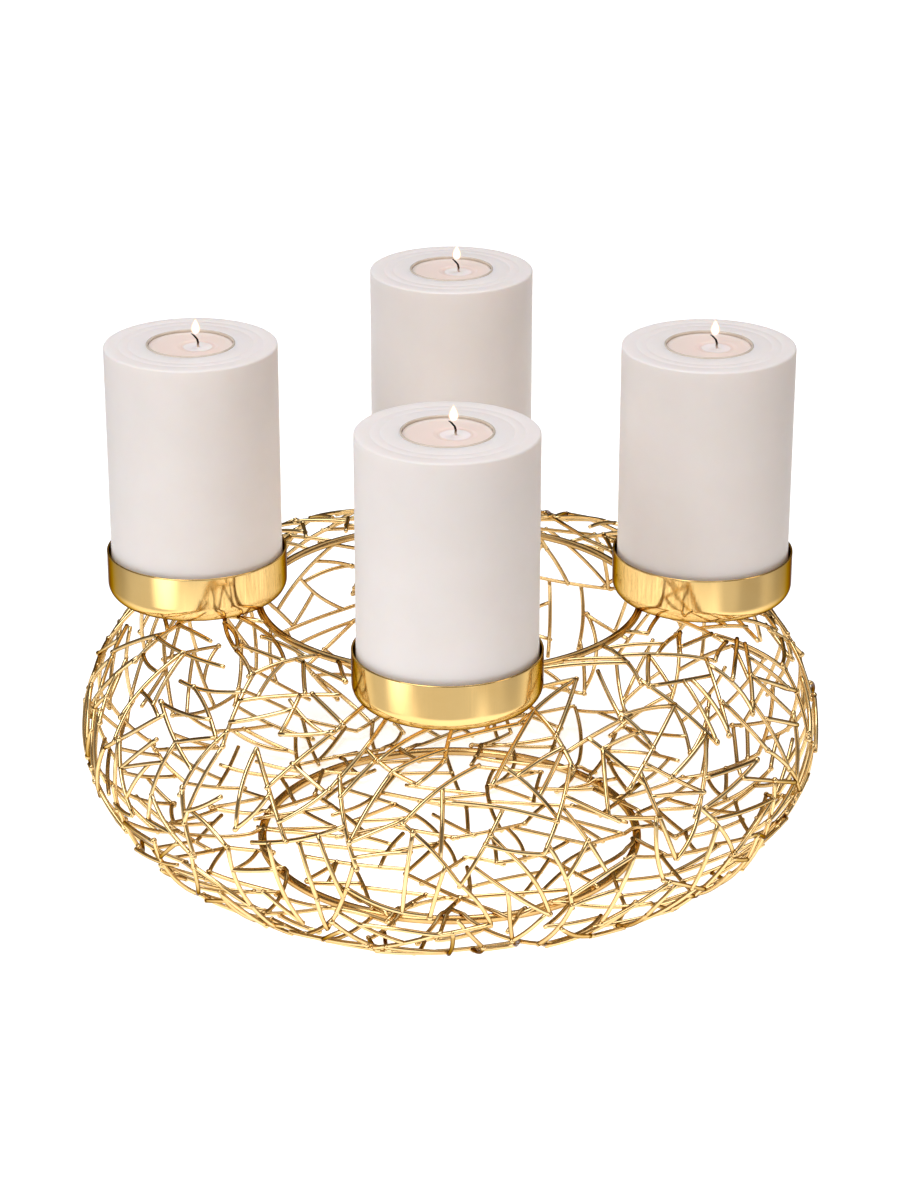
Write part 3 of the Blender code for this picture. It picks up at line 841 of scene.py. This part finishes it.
def tube_arrays(course, radius, sides, start):
    """Vertices and faces of a round wire with slightly rounded ends."""
    along = np.gradient(course, axis=0)
    along /= np.linalg.norm(along, axis=1)[:, None]
    tip = radius * TIP_LENGTH
    course = np.vstack([course[0] - along[0] * tip, course, course[-1] + along[-1] * tip])
    along = np.vstack([along[0], along, along[-1]])
    radii = np.full(len(course), radius)
    radii[0] = radii[-1] = radius * TIP_SIZE
    up = np.array([0.0, 0.0, 1.0]) if abs(along[0][2]) < 0.8 else np.array([1.0, 0.0, 0.0])
    side = np.cross(along, up)
    side /= np.linalg.norm(side, axis=1)[:, None]
    up = np.cross(side, along)
    turns = np.arange(sides) * math.tau / sides
    ring = np.cos(turns)[None, :, None] * side[:, None, :] + np.sin(turns)[None, :, None] * up[:, None, :]
    verts = (course[:, None, :] + radii[:, None, None] * ring).reshape(-1, 3)
    return verts, closed_tube(len(course), sides, start)


def bead_arrays(place, along, radius, stretch, start):
    """Vertices and faces of a small blob of solder, drawn out along the wire that it holds."""
    along = Vector(along).normalized()
    turn = along.to_track_quat("Z", "Y").to_matrix()
    rows, sides = BEAD_ROWS, BEAD_SIDES
    local = [Vector((0, 0, -radius * stretch))]
    for i in range(1, rows):
        tilt = math.pi * i / rows
        for k in range(sides):
            a = math.tau * k / sides
            local.append(Vector((radius * math.sin(tilt) * math.cos(a), radius * math.sin(tilt) * math.sin(a),
                                 -radius * stretch * math.cos(tilt))))
    local.append(Vector((0, 0, radius * stretch)))
    faces = quads(rows - 1, sides, start + 1)
    top = start + 1 + (rows - 2) * sides
    for k in range(sides):
        j = (k + 1) % sides
        faces.append((start, start + 1 + j, start + 1 + k))
        faces.append((top + k, top + j, top + sides))
    return np.array([place + np.array(turn @ vert) for vert in local]), faces


def add_object(name, data, place=(0, 0, 0), turn=(0, 0, 0)):
    obj = bpy.data.objects.new(name, data)
    obj.location, obj.rotation_euler = place, turn
    bpy.context.scene.collection.objects.link(obj)
    return obj


def finish_piece(name, mesh, mat, replaced, place=(0, 0, 0)):
    """Put a mesh in the scene as a smooth piece that rides on the one body."""
    mesh.materials.append(mat)
    mesh.polygons.foreach_set("use_smooth", [True] * len(mesh.polygons))
    obj = add_object(name, mesh, place)
    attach(obj, "root")
    if replaced:
        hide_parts(replaced)


def mesh_piece(name, verts, faces, mat, replaced, place=(0, 0, 0)):
    mesh = bpy.data.meshes.new(name)
    mesh.from_pydata([tuple(v) for v in verts], [], faces)
    mesh.validate()
    finish_piece(name, mesh, mat, replaced, place)


def build_nest(mat):
    nest = Nest(SEED)
    nest.grow(GROWTH_ROUNDS, BOTTOM_WIRES)
    weave = Weave(nest, WEAVE_SEED)
    weave.divide(MORE_WIRES)
    draw = random.Random(SHAPE_SEED)
    courses, beads = shape_wires(weave, draw)
    names = [f"{sector + 1:02d}" for sector in range(SECTORS)] + ["bottom"]
    for sector, name in enumerate(names):
        verts, faces, start = [], [], 0
        for course, wire in zip(courses, weave.wires):
            if wire["sector"] == sector:
                radius = FINE_RADIUS * draw.uniform(*RADIUS_SHARES)
                v, f = tube_arrays(course, radius, FINE_SIDES, start)
                verts.append(v)
                faces += f
                start += len(v)
        for place, along in beads:
            if weave.sector_at(place) == sector and draw.random() < BEAD_SHARE:
                size = draw.uniform(*BEAD_RADII)
                place[2] = min(max(place[2], size + CLEARANCE), DISH_FLOOR_Z - size - CLEARANCE)
                v, f = bead_arrays(place, along, size, draw.uniform(*BEAD_STRETCH), start)
                verts.append(v)
                faces += f
                start += len(v)
        replaced = "nest_bottom" if sector == BOTTOM else f"nest_sector_{name}"
        mesh_piece(f"gilt_wires_{name}", np.concatenate(verts), faces, mat, replaced)


def spun_piece(name, profile, segments, mat, replaced, place, closed=False):
    """Spin a (radius, height) outline round its own axis and put the piece in its place."""
    bm = bmesh.new()
    verts = [bm.verts.new((r, 0.0, z)) for r, z in profile]
    edges = [bm.edges.new(pair) for pair in zip(verts, verts[1:])]
    if closed:
        edges.append(bm.edges.new((verts[-1], verts[0])))
    bmesh.ops.spin(bm, geom=verts + edges, cent=(0, 0, 0), axis=(0, 0, 1), angle=math.tau,
                   steps=segments, use_merge=True)
    bmesh.ops.remove_doubles(bm, verts=bm.verts, dist=1e-7)
    bmesh.ops.recalc_face_normals(bm, faces=bm.faces)
    mesh = bpy.data.meshes.new(name)
    bm.to_mesh(mesh)
    bm.free()
    finish_piece(name, mesh, mat, replaced, place)


def arc(centre, radius, start, end, steps):
    turns = [math.radians(start + (end - start) * i / steps) for i in range(steps + 1)]
    return [(centre[0] + radius * math.cos(a), centre[1] + radius * math.sin(a)) for a in turns]


def fine_dish():
    """Outline of a spun dish; the loops on its wall and floor keep its flat parts flat."""
    half = DISH_WALL / 2
    centre = (DISH_RADIUS - DISH_CORNER, DISH_CORNER)
    outside = arc(centre, DISH_CORNER, -90, 0, 14)
    wall = [(DISH_RADIUS, DISH_CORNER + share * (DISH_HEIGHT - half - DISH_CORNER))
            for share in (0.04, 0.5, 0.97)]
    rim = arc((DISH_RADIUS - half, DISH_HEIGHT - half), half, 0, 180, 8)
    inside = arc(centre, DISH_CORNER - DISH_WALL, 0, -90, 10)
    return [(0, 0), (0.012, 0), (0.024, 0)] + outside + wall + rim + inside + [(0, DISH_WALL)]


def fine_candle():
    foot = DISH_WALL + GAP
    height = CANDLE_TOP_Z - DISH_FLOOR_Z - foot
    recess = CUP_RADIUS + RECESS_SLACK
    depth = CUP_HEIGHT + GAP
    top = arc((CANDLE_RADIUS - CANDLE_TOP_BEVEL, height - CANDLE_TOP_BEVEL), CANDLE_TOP_BEVEL, 0, 90, 6)
    mouth = arc((recess + MOUTH_BEVEL, height - MOUTH_BEVEL), MOUTH_BEVEL, 90, 180, 4)
    foot_bevel = arc((CANDLE_RADIUS - CANDLE_FOOT_BEVEL, CANDLE_FOOT_BEVEL), CANDLE_FOOT_BEVEL, -90, 0, 5)
    sides = [(CANDLE_RADIUS, CANDLE_FOOT_BEVEL + i * SIDE_LOOP_STEP) for i in range(1, 12)]
    outer, inner = RING_HALF_WIDTHS
    rings = []
    for radius, deep in TURNED_RINGS:
        rings += [(radius + outer, height), (radius + inner, height - deep),
                  (radius - inner, height - deep), (radius - outer, height)]
    return ([(0, 0)] + foot_bevel + sides + top + rings + mouth
            + [(recess, height - depth), (0, height - depth)])


def fine_cup():
    wall, bevel = FINE_CUP_WALL, CUP_FOOT_BEVEL
    inner = CUP_RADIUS - wall
    lip = arc((CUP_RADIUS - CLEARANCE, CUP_HEIGHT), LIP_RADIUS, -60, 215, 12)
    return ([(0, 0), (CUP_RADIUS - bevel, 0), (CUP_RADIUS, bevel), (CUP_RADIUS, CUP_HEIGHT - wall)] + lip
            + [(inner, CUP_HEIGHT - 2 * wall), (inner, bevel + wall), (inner - bevel, wall), (0, wall)])


def fill(node, inputs):
    """Set a node's inputs by name or number: a socket is linked, anything else is a plain value."""
    for key, value in inputs.items():
        if isinstance(value, bpy.types.NodeSocket):
            node.id_data.links.new(value, node.inputs[key])
        else:
            node.inputs[key].default_value = value
    return node


def add(tree, kind, inputs, **settings):
    """A new shader node with its settings and inputs."""
    node = tree.nodes.new("ShaderNode" + kind)
    for name, value in settings.items():
        setattr(node, name, value)
    return fill(node, inputs)


def new_material(name):
    mat = bpy.data.materials.new(name)
    mat.use_nodes = True
    return mat, mat.node_tree, mat.node_tree.nodes["Principled BSDF"]


def math_node(tree, operation, *values):
    return add(tree, "Math", dict(enumerate(values)), operation=operation).outputs["Value"]


def maps(tree, value, start, end, low=0.0, high=1.0, kind="LINEAR"):
    """Map start..end of a value to low..high."""
    inputs = {"Value": value, "From Min": start, "From Max": end, "To Min": low, "To Max": high}
    return add(tree, "MapRange", inputs, interpolation_type=kind).outputs["Result"]


def ease(tree, value, start, end):
    """0 up to start, 1 from end on, and a smooth rise between them."""
    return maps(tree, value, start, end, kind="SMOOTHSTEP")


def place_on(tree):
    """Where a point lies on its own object."""
    return add(tree, "TexCoord", {}).outputs["Object"]


def axes(tree):
    return add(tree, "SeparateXYZ", {"Vector": place_on(tree)}).outputs


def distance_from(tree, place):
    return add(tree, "VectorMath", {0: place_on(tree), 1: place}, operation="DISTANCE").outputs["Value"]


def noise(tree, scale, detail=3.0, rough=0.5, stretch=None):
    """Noise over the object, 0 to 1; stretch scales its three axes."""
    place = place_on(tree)
    if stretch:
        place = add(tree, "Mapping", {"Vector": place, "Scale": stretch}).outputs["Vector"]
    inputs = {"Vector": place, "Scale": scale, "Detail": detail, "Roughness": rough}
    return add(tree, "TexNoise", inputs).outputs["Fac"]


def ramp(tree, value, stops):
    """Colour of a value between stops of (place, colour)."""
    node = add(tree, "ValToRGB", {"Fac": value})
    elements = node.color_ramp.elements
    while len(elements) < len(stops):
        elements.new(0.5)
    for element, (place, color) in zip(elements, stops):
        element.position = place
        element.color = (*color, 1.0)
    return node.outputs["Color"]


def bump(tree, value, strength, distance):
    return add(tree, "Bump", {"Height": value, "Strength": strength, "Distance": distance}).outputs["Normal"]


def gilt(name, base, darker, rough, wave_scale, wave, grain=None):
    """Polished gilt with a slight change of tone, a fine grain in its gloss, and gentle waves."""
    mat, tree, shader = new_material(name)
    fine = noise(tree, 420.0 if grain is None else 1.0, stretch=grain)
    fill(shader, {
        "Base Color": ramp(tree, noise(tree, 60.0, 4.0), [(0.30, darker), (0.62, base)]),
        "Metallic": 1.0, "Specular Tint": (0.14, 0.08, 0.04, 1.0),
        "Roughness": maps(tree, fine, 0.0, 1.0, *rough),
        "Normal": bump(tree, noise(tree, wave_scale, 2.0), 0.6, wave)})
    return mat


def candle_material():
    mat, tree, shader = new_material("candle_wax_fine")
    tone, fine = noise(tree, 14.0, 5.0, 0.6), noise(tree, 300.0, 4.0)
    fill(shader, {
        "Base Color": ramp(tree, tone, [(0.3, (0.83, 0.78, 0.755)), (0.7, (0.88, 0.835, 0.82))]),
        "Roughness": maps(tree, fine, 0.0, 1.0, 0.38, 0.55), "Specular IOR Level": 0.4,
        "Subsurface Weight": 0.35, "Subsurface Radius": (1.0, 0.7, 0.5), "Subsurface Scale": 0.008,
        "Normal": bump(tree, fine, 0.25, 0.0001)})
    return mat


def cup_material():
    mat, tree, shader = new_material("clear_cup_fine")
    tone = noise(tree, 120.0, 2.0)
    fill(shader, {
        "Base Color": ramp(tree, tone, [(0.3, (0.78, 0.67, 0.55)), (0.7, (0.86, 0.76, 0.65))]),
        "Roughness": maps(tree, tone, 0.0, 1.0, 0.05, 0.16),
        "Transmission Weight": 0.25, "IOR": 1.47})
    return mat


def wax_material():
    """Beige wax; round the wick it is melted, clear and glossy."""
    mat, tree, shader = new_material("tealight_wax_fine")
    gap = distance_from(tree, (*POOL_PLACE, CUP_HEIGHT - WAX_BELOW_RIM))
    place = maps(tree, math_node(tree, "MULTIPLY_ADD", noise(tree, 240.0), 0.0006, gap), 0.0, CUP_RADIUS)
    edge = POOL_RADIUS / CUP_RADIUS
    fill(shader, {
        "Base Color": ramp(tree, place, [
            (0.0, (1.0, 0.93, 0.92)), (edge - 0.04, (1.0, 0.91, 0.89)), (edge, (0.80, 0.64, 0.56)),
            (edge + 0.05, (0.89, 0.74, 0.67)), (1.0, (0.86, 0.73, 0.66))]),
        "Roughness": ramp(tree, place, [(edge - 0.03, (0.22,) * 3), (edge + 0.03, (0.42,) * 3)]),
        "Subsurface Weight": 0.3, "Subsurface Radius": (1.0, 0.6, 0.4), "Subsurface Scale": 0.004})
    return mat


def wick_material():
    """Cotton, pale at its foot and charred black above."""
    mat, tree, shader = new_material("charred_wick_fine")
    tone = noise(tree, 2500.0)
    height = math_node(tree, "MULTIPLY_ADD", tone, 0.0008, axes(tree)["Z"])
    fill(shader, {
        "Base Color": ramp(tree, maps(tree, height, 0.0, WICK_HEIGHT), [
            (0.12, (0.62, 0.48, 0.38)), (0.36, (0.10, 0.05, 0.03)), (0.55, (0.005, 0.004, 0.004)),
            (1.0, (0.012, 0.008, 0.007))]),
        "Roughness": 0.85, "Specular IOR Level": 0.15, "Normal": bump(tree, tone, 0.8, 0.0002)})
    return mat


def glow_material(name, low, high, strength, shown):
    """A flame's layer: its colour and how much of it shows change from foot to tip."""
    mat, tree, shader = new_material(name)
    place = maps(tree, axes(tree)["Z"], 0.0, FLAME_HEIGHT)
    color = ramp(tree, place, [(0.05, low), (0.45, high), (1.0, high)])
    share = ramp(tree, place, [(at, (part,) * 3) for at, part in zip((0.0, 0.4, 1.0), shown)])
    glow = add(tree, "Emission", {"Strength": strength, "Color": color}).outputs["Emission"]
    clear = add(tree, "BsdfTransparent", {}).outputs["BSDF"]
    mix = add(tree, "MixShader", {"Fac": share, 1: clear, 2: glow})
    fill(tree.nodes["Material Output"], {"Surface": mix.outputs["Shader"]})
    tree.nodes.remove(shader)
    return mat


def flame_profile(width, height):
    """A teardrop, from its foot to its tip."""
    points = [(0, 0)]
    for i in range(1, FLAME_STEPS):
        t = i / FLAME_STEPS
        swell = math.sin(math.pi * t ** 0.72) ** 0.85
        points.append((width / 2 * swell * (1 - 0.25 * t), height * t))
    return points + [(0, height)]


def fine_wick(name, mat, place, replaced):
    """Three twisted strands, charred, curling over to the left."""
    x, y = WICK_OFFSET
    verts = []
    for i in range(WICK_RINGS):
        t = i / (WICK_RINGS - 1)
        z = -WICK_ROOT + (WICK_HEIGHT + WICK_ROOT) * min(1.0, t * 1.04)
        lean = max(0.0, z / WICK_HEIGHT - 0.35) / 0.65
        centre = Vector((x - WICK_LEAN * lean ** 1.9, y, z))
        size = WICK_RADIUS * (1.0 if t < 0.85 else 1.0 - 1.6 * (t - 0.85))
        for k in range(FINE_WICK_SIDES):
            a = math.tau * k / FINE_WICK_SIDES
            lobe = 1.0 + 0.16 * math.cos(STRANDS * (a + TWIST * t))
            verts.append(centre + Vector((math.cos(a), math.sin(a), 0.0)) * size * lobe)
    mesh_piece(name, verts, closed_tube(WICK_RINGS, FINE_WICK_SIDES), mat, replaced, place)


def wax_height(x, y, radius):
    """How far the wax stands above its level: lower in the pool, higher at the cup and at the wick."""
    rise = 0.0
    apart = math.hypot(x - POOL_PLACE[0], y - POOL_PLACE[1]) / POOL_RADIUS
    if apart < 1.25:
        rise -= POOL_DEPTH * (1 - min(1.0, max(0.0, (apart - 0.8) / 0.45)) ** 2)
    edge = math.hypot(x, y) / radius
    if edge > 0.9:
        rise += WAX_RISE * ((edge - 0.9) / 0.1) ** 2
    return rise + WAX_RISE * math.exp(-(math.hypot(x - WICK_OFFSET[0], y - WICK_OFFSET[1]) / 0.0009) ** 2)


def fine_wax(name, mat, place, replaced):
    """Wax with a slightly raised edge at the cup and a shallow pool round the wick."""
    radius = CUP_RADIUS - FINE_CUP_WALL - CLEARANCE
    level, foot = CUP_HEIGHT - WAX_BELOW_RIM, CUP_WALL + GAP
    verts = [(0, 0, level + wax_height(0, 0, radius))]
    for i in range(1, WAX_RINGS + 2):
        r = radius * min(i, WAX_RINGS) / WAX_RINGS
        for k in range(WAX_SIDES):
            a = math.tau * k / WAX_SIDES
            x, y = r * math.cos(a), r * math.sin(a)
            verts.append((x, y, level + wax_height(x, y, radius) if i <= WAX_RINGS else foot))
    verts.append((0, 0, foot))
    faces = [face[::-1] for face in quads(WAX_RINGS + 1, WAX_SIDES, 1)]
    last = 1 + WAX_RINGS * WAX_SIDES
    for k in range(WAX_SIDES):
        j = (k + 1) % WAX_SIDES
        faces += [(0, 1 + k, 1 + j), (last + k, last + WAX_SIDES, last + j)]
    mesh_piece(name, verts, faces, mat, replaced, place)


def build_stands(mats):
    """At each quarter a dish, a candle, its tealight and the flame."""
    for quarter, angle in QUARTERS.items():
        turn = math.radians(angle)
        x, y = DISH_CIRCLE * math.cos(turn), DISH_CIRCLE * math.sin(turn)
        cup_z = CANDLE_TOP_Z - CUP_HEIGHT
        level = cup_z + CUP_HEIGHT - WAX_BELOW_RIM
        spun_piece(f"spun_dish_{quarter}", fine_dish(), SPUN_SEGMENTS, mats["dish"],
                   f"dish_{quarter}", (x, y, DISH_FLOOR_Z))
        spun_piece(f"pillar_candle_{quarter}", fine_candle(), SPUN_SEGMENTS, mats["candle"],
                   f"candle_{quarter}", (x, y, DISH_FLOOR_Z + DISH_WALL + GAP))
        spun_piece(f"clear_cup_{quarter}", fine_cup(), CUP_SEGMENTS, mats["cup"],
                   f"tealight_cup_{quarter}", (x, y, cup_z))
        fine_wax(f"melting_wax_{quarter}", mats["wax"], (x, y, cup_z), f"tealight_wax_{quarter}")
        fine_wick(f"burning_wick_{quarter}", mats["wick"], (x, y, level), f"wick_{quarter}")
        flame_x, flame_y = x + WICK_OFFSET[0] + FLAME_ASIDE, y + WICK_OFFSET[1]
        flame_z = level + WICK_HEIGHT * FLAME_LEVEL
        for name, look, wide, high, lift in FLAME_LAYERS:
            outline = flame_profile(FLAME_WIDTH * wide, FLAME_HEIGHT * high)
            spun_piece(f"{name}_{quarter}", outline, FLAME_SEGMENTS, mats[look], None,
                       (flame_x, flame_y, flame_z + lift))


def ring_profile(radius, rod, height, sides):
    turns = [i * math.tau / sides for i in range(sides)]
    return [(radius + rod * math.cos(a), height + rod * math.sin(a)) for a in turns]


def build_hoops(mat):
    for name, radius, rod, height in (("upper", UPPER_HOOP_RADIUS, UPPER_ROD, UPPER_HOOP_Z),
                                      ("lower", LOWER_HOOP_RADIUS, LOWER_ROD, LOWER_ROD)):
        spun_piece(f"{name}_rod_hoop", ring_profile(radius, rod, height, FINE_ROD_SIDES), HOOP_SEGMENTS, mat,
                   f"{name}_hoop", (0, 0, 0), closed=True)


def build_floor():
    """A plain pale floor whose glow is painted light: even where the camera sees it, softer beyond, with a
    painted glowing stretch in front and painted pools of light and shade.
    """
    mat, tree, shader = new_material("pale_floor_painted_glow")

    def calc(operation, *values):
        return math_node(tree, operation, *values)

    x, y, _ = axes(tree)
    aside = calc("ABSOLUTE", x)
    front = ease(tree, y, FLOOR_NEAR - FRONT_FADE, FLOOR_NEAR)
    beyond = calc("SUBTRACT", calc("MULTIPLY_ADD", y, -FLOOR_SPREAD, aside), FLOOR_SIDE)
    fade = calc("MULTIPLY_ADD", ease(tree, y, *FADE_WIDENS), FLOOR_FADE - FRONT_FADE, FRONT_FADE)
    side = ease(tree, calc("DIVIDE", beyond, fade), 0.0, 1.0)
    seen = calc("MULTIPLY", front, calc("SUBTRACT", 1.0, side))
    # Painted light: a glowing stretch of floor in front of the wreath, mostly out of view, that shows in the
    # dishes and wires.
    near = calc("MULTIPLY", calc("SUBTRACT", 1.0, ease(tree, y, *FRONT_ENDS)),
                calc("SUBTRACT", 1.0, ease(tree, aside, *FRONT_SIDES)))
    glow = calc("MULTIPLY", near, FRONT_PAINTED_GLOW)
    glow = calc("MULTIPLY_ADD", seen, BRIGHT_FLOOR - FRONT_PAINTED_GLOW, glow)
    glow = calc("MULTIPLY_ADD", ease(tree, y, *FAR_RISES), FAR_FLOOR, glow)
    # Painted pools of light on the floor, and a painted patch of shade where the power is below zero.
    for *place, size, power in PAINTED_LIGHT_AND_SHADE_POOLS:
        apart = distance_from(tree, (*place, 0.0))
        painted_pool = calc("SUBTRACT", 1.0, ease(tree, apart, PAINTED_POOL_CORE * size, size))
        glow = calc("MULTIPLY_ADD", painted_pool, power, glow)
    pale = calc("MULTIPLY_ADD", noise(tree, 3.0, 2.0), 0.03, 0.60)
    pale = calc("MULTIPLY_ADD", seen, 0.32, pale)
    shade = add(tree, "CombineColor", {0: pale, 1: pale, 2: pale}).outputs["Color"]
    fill(shader, {"Base Color": shade, "Roughness": 0.9, "Emission Color": (1, 1, 1, 1),
                  "Emission Strength": calc("MAXIMUM", glow, 0.0)})
    half = FLOOR_HALF
    mesh = bpy.data.meshes.new("floor")
    mesh.from_pydata([(-half, -half, 0), (half, -half, 0), (half, half, 0), (-half, half, 0)], [],
                     [(0, 1, 2, 3)])
    mesh.materials.append(mat)
    add_object("floor", mesh)


def area_light(name, place, target, size, power, color=(1, 1, 1)):
    data = bpy.data.lights.new(name, "AREA")
    data.shape = "RECTANGLE"
    data.size, data.size_y = size
    data.energy = power
    data.color = color
    turn = (Vector(target) - Vector(place)).to_track_quat("-Z", "Y").to_euler()
    add_object(name, data, place, turn)


def build_studio():
    """A sky that is bright overhead and dim at eye height, and three soft boxes."""
    world = bpy.data.worlds.new("studio")
    bpy.context.scene.world = world
    world.use_nodes = True
    tree = world.node_tree
    up = add(tree, "SeparateXYZ", {"Vector": add(tree, "TexCoord", {}).outputs["Generated"]}).outputs["Z"]
    color = ramp(tree, maps(tree, up, -0.2, 1.0), [
        (0.16, (0.34, 0.30, 0.27)), (0.40, (0.28, 0.25, 0.23)), (0.52, (0.10, 0.09, 0.08)),
        (0.72, (0.08, 0.07, 0.06)), (0.86, (0.9, 0.9, 0.9))])
    fill(tree.nodes["Background"], {"Color": color, "Strength": 0.75})
    area_light("key_softbox", (-1.0, -1.4, 1.5), (0, 0, 0.1), (1.4, 1.4), 22)
    area_light("side_softbox", (1.5, -0.7, 0.8), (0, 0, 0.12), (0.6, 1.0), 3.8, (1.0, 0.82, 0.64))
    area_light("top_softbox", (0.0, 0.2, 1.9), (0, 0, 0), (1.1, 0.8), 12, (0.95, 0.93, 1.0))


def build_camera():
    data = bpy.data.cameras.new("camera")
    data.sensor_fit = "VERTICAL"
    data.sensor_height = 36.0
    data.lens = CAMERA_LENS
    bpy.context.scene.camera = add_object("camera", data, CAMERA_PLACE, CAMERA_TURN)


bpy.context.scene.view_settings.view_transform = "Standard"
build_camera()
build_studio()
build_floor()
mats = {
    "wire": gilt("gilt_wire", (0.85, 0.63, 0.32), (0.76, 0.53, 0.23), (0.06, 0.12), 200.0, 0.00003),
    # The hoops' gilt is a darker, browner copy of the wires' gilt: painted shade for the lesser light that
    # falls on the hoops.
    "hoop": gilt("gilt_hoop_painted_shade", (0.72, 0.49, 0.21), (0.56, 0.36, 0.14), (0.12, 0.22), 140.0, 0.0001),
    "dish": gilt("gilt_dish", (0.82, 0.57, 0.23), (0.79, 0.53, 0.20), (0.02, 0.20), 24.0, 0.0001,
                 (1500.0, 1500.0, 25.0)),
    "candle": candle_material(),
    "cup": cup_material(),
    "wax": wax_material(),
    "wick": wick_material(),
    "flame": glow_material("flame_glow", (1.0, 0.62, 0.50), (1.0, 0.66, 0.42), 1.5, (0.10, 0.55, 0.6)),
    "core": glow_material("flame_core_glow", (1.0, 0.84, 0.74), (1.0, 0.98, 0.94), 3.0, (0.15, 1.0, 1.0)),
}
build_hoops(mats["hoop"])
build_nest(mats["wire"])
build_stands(mats)
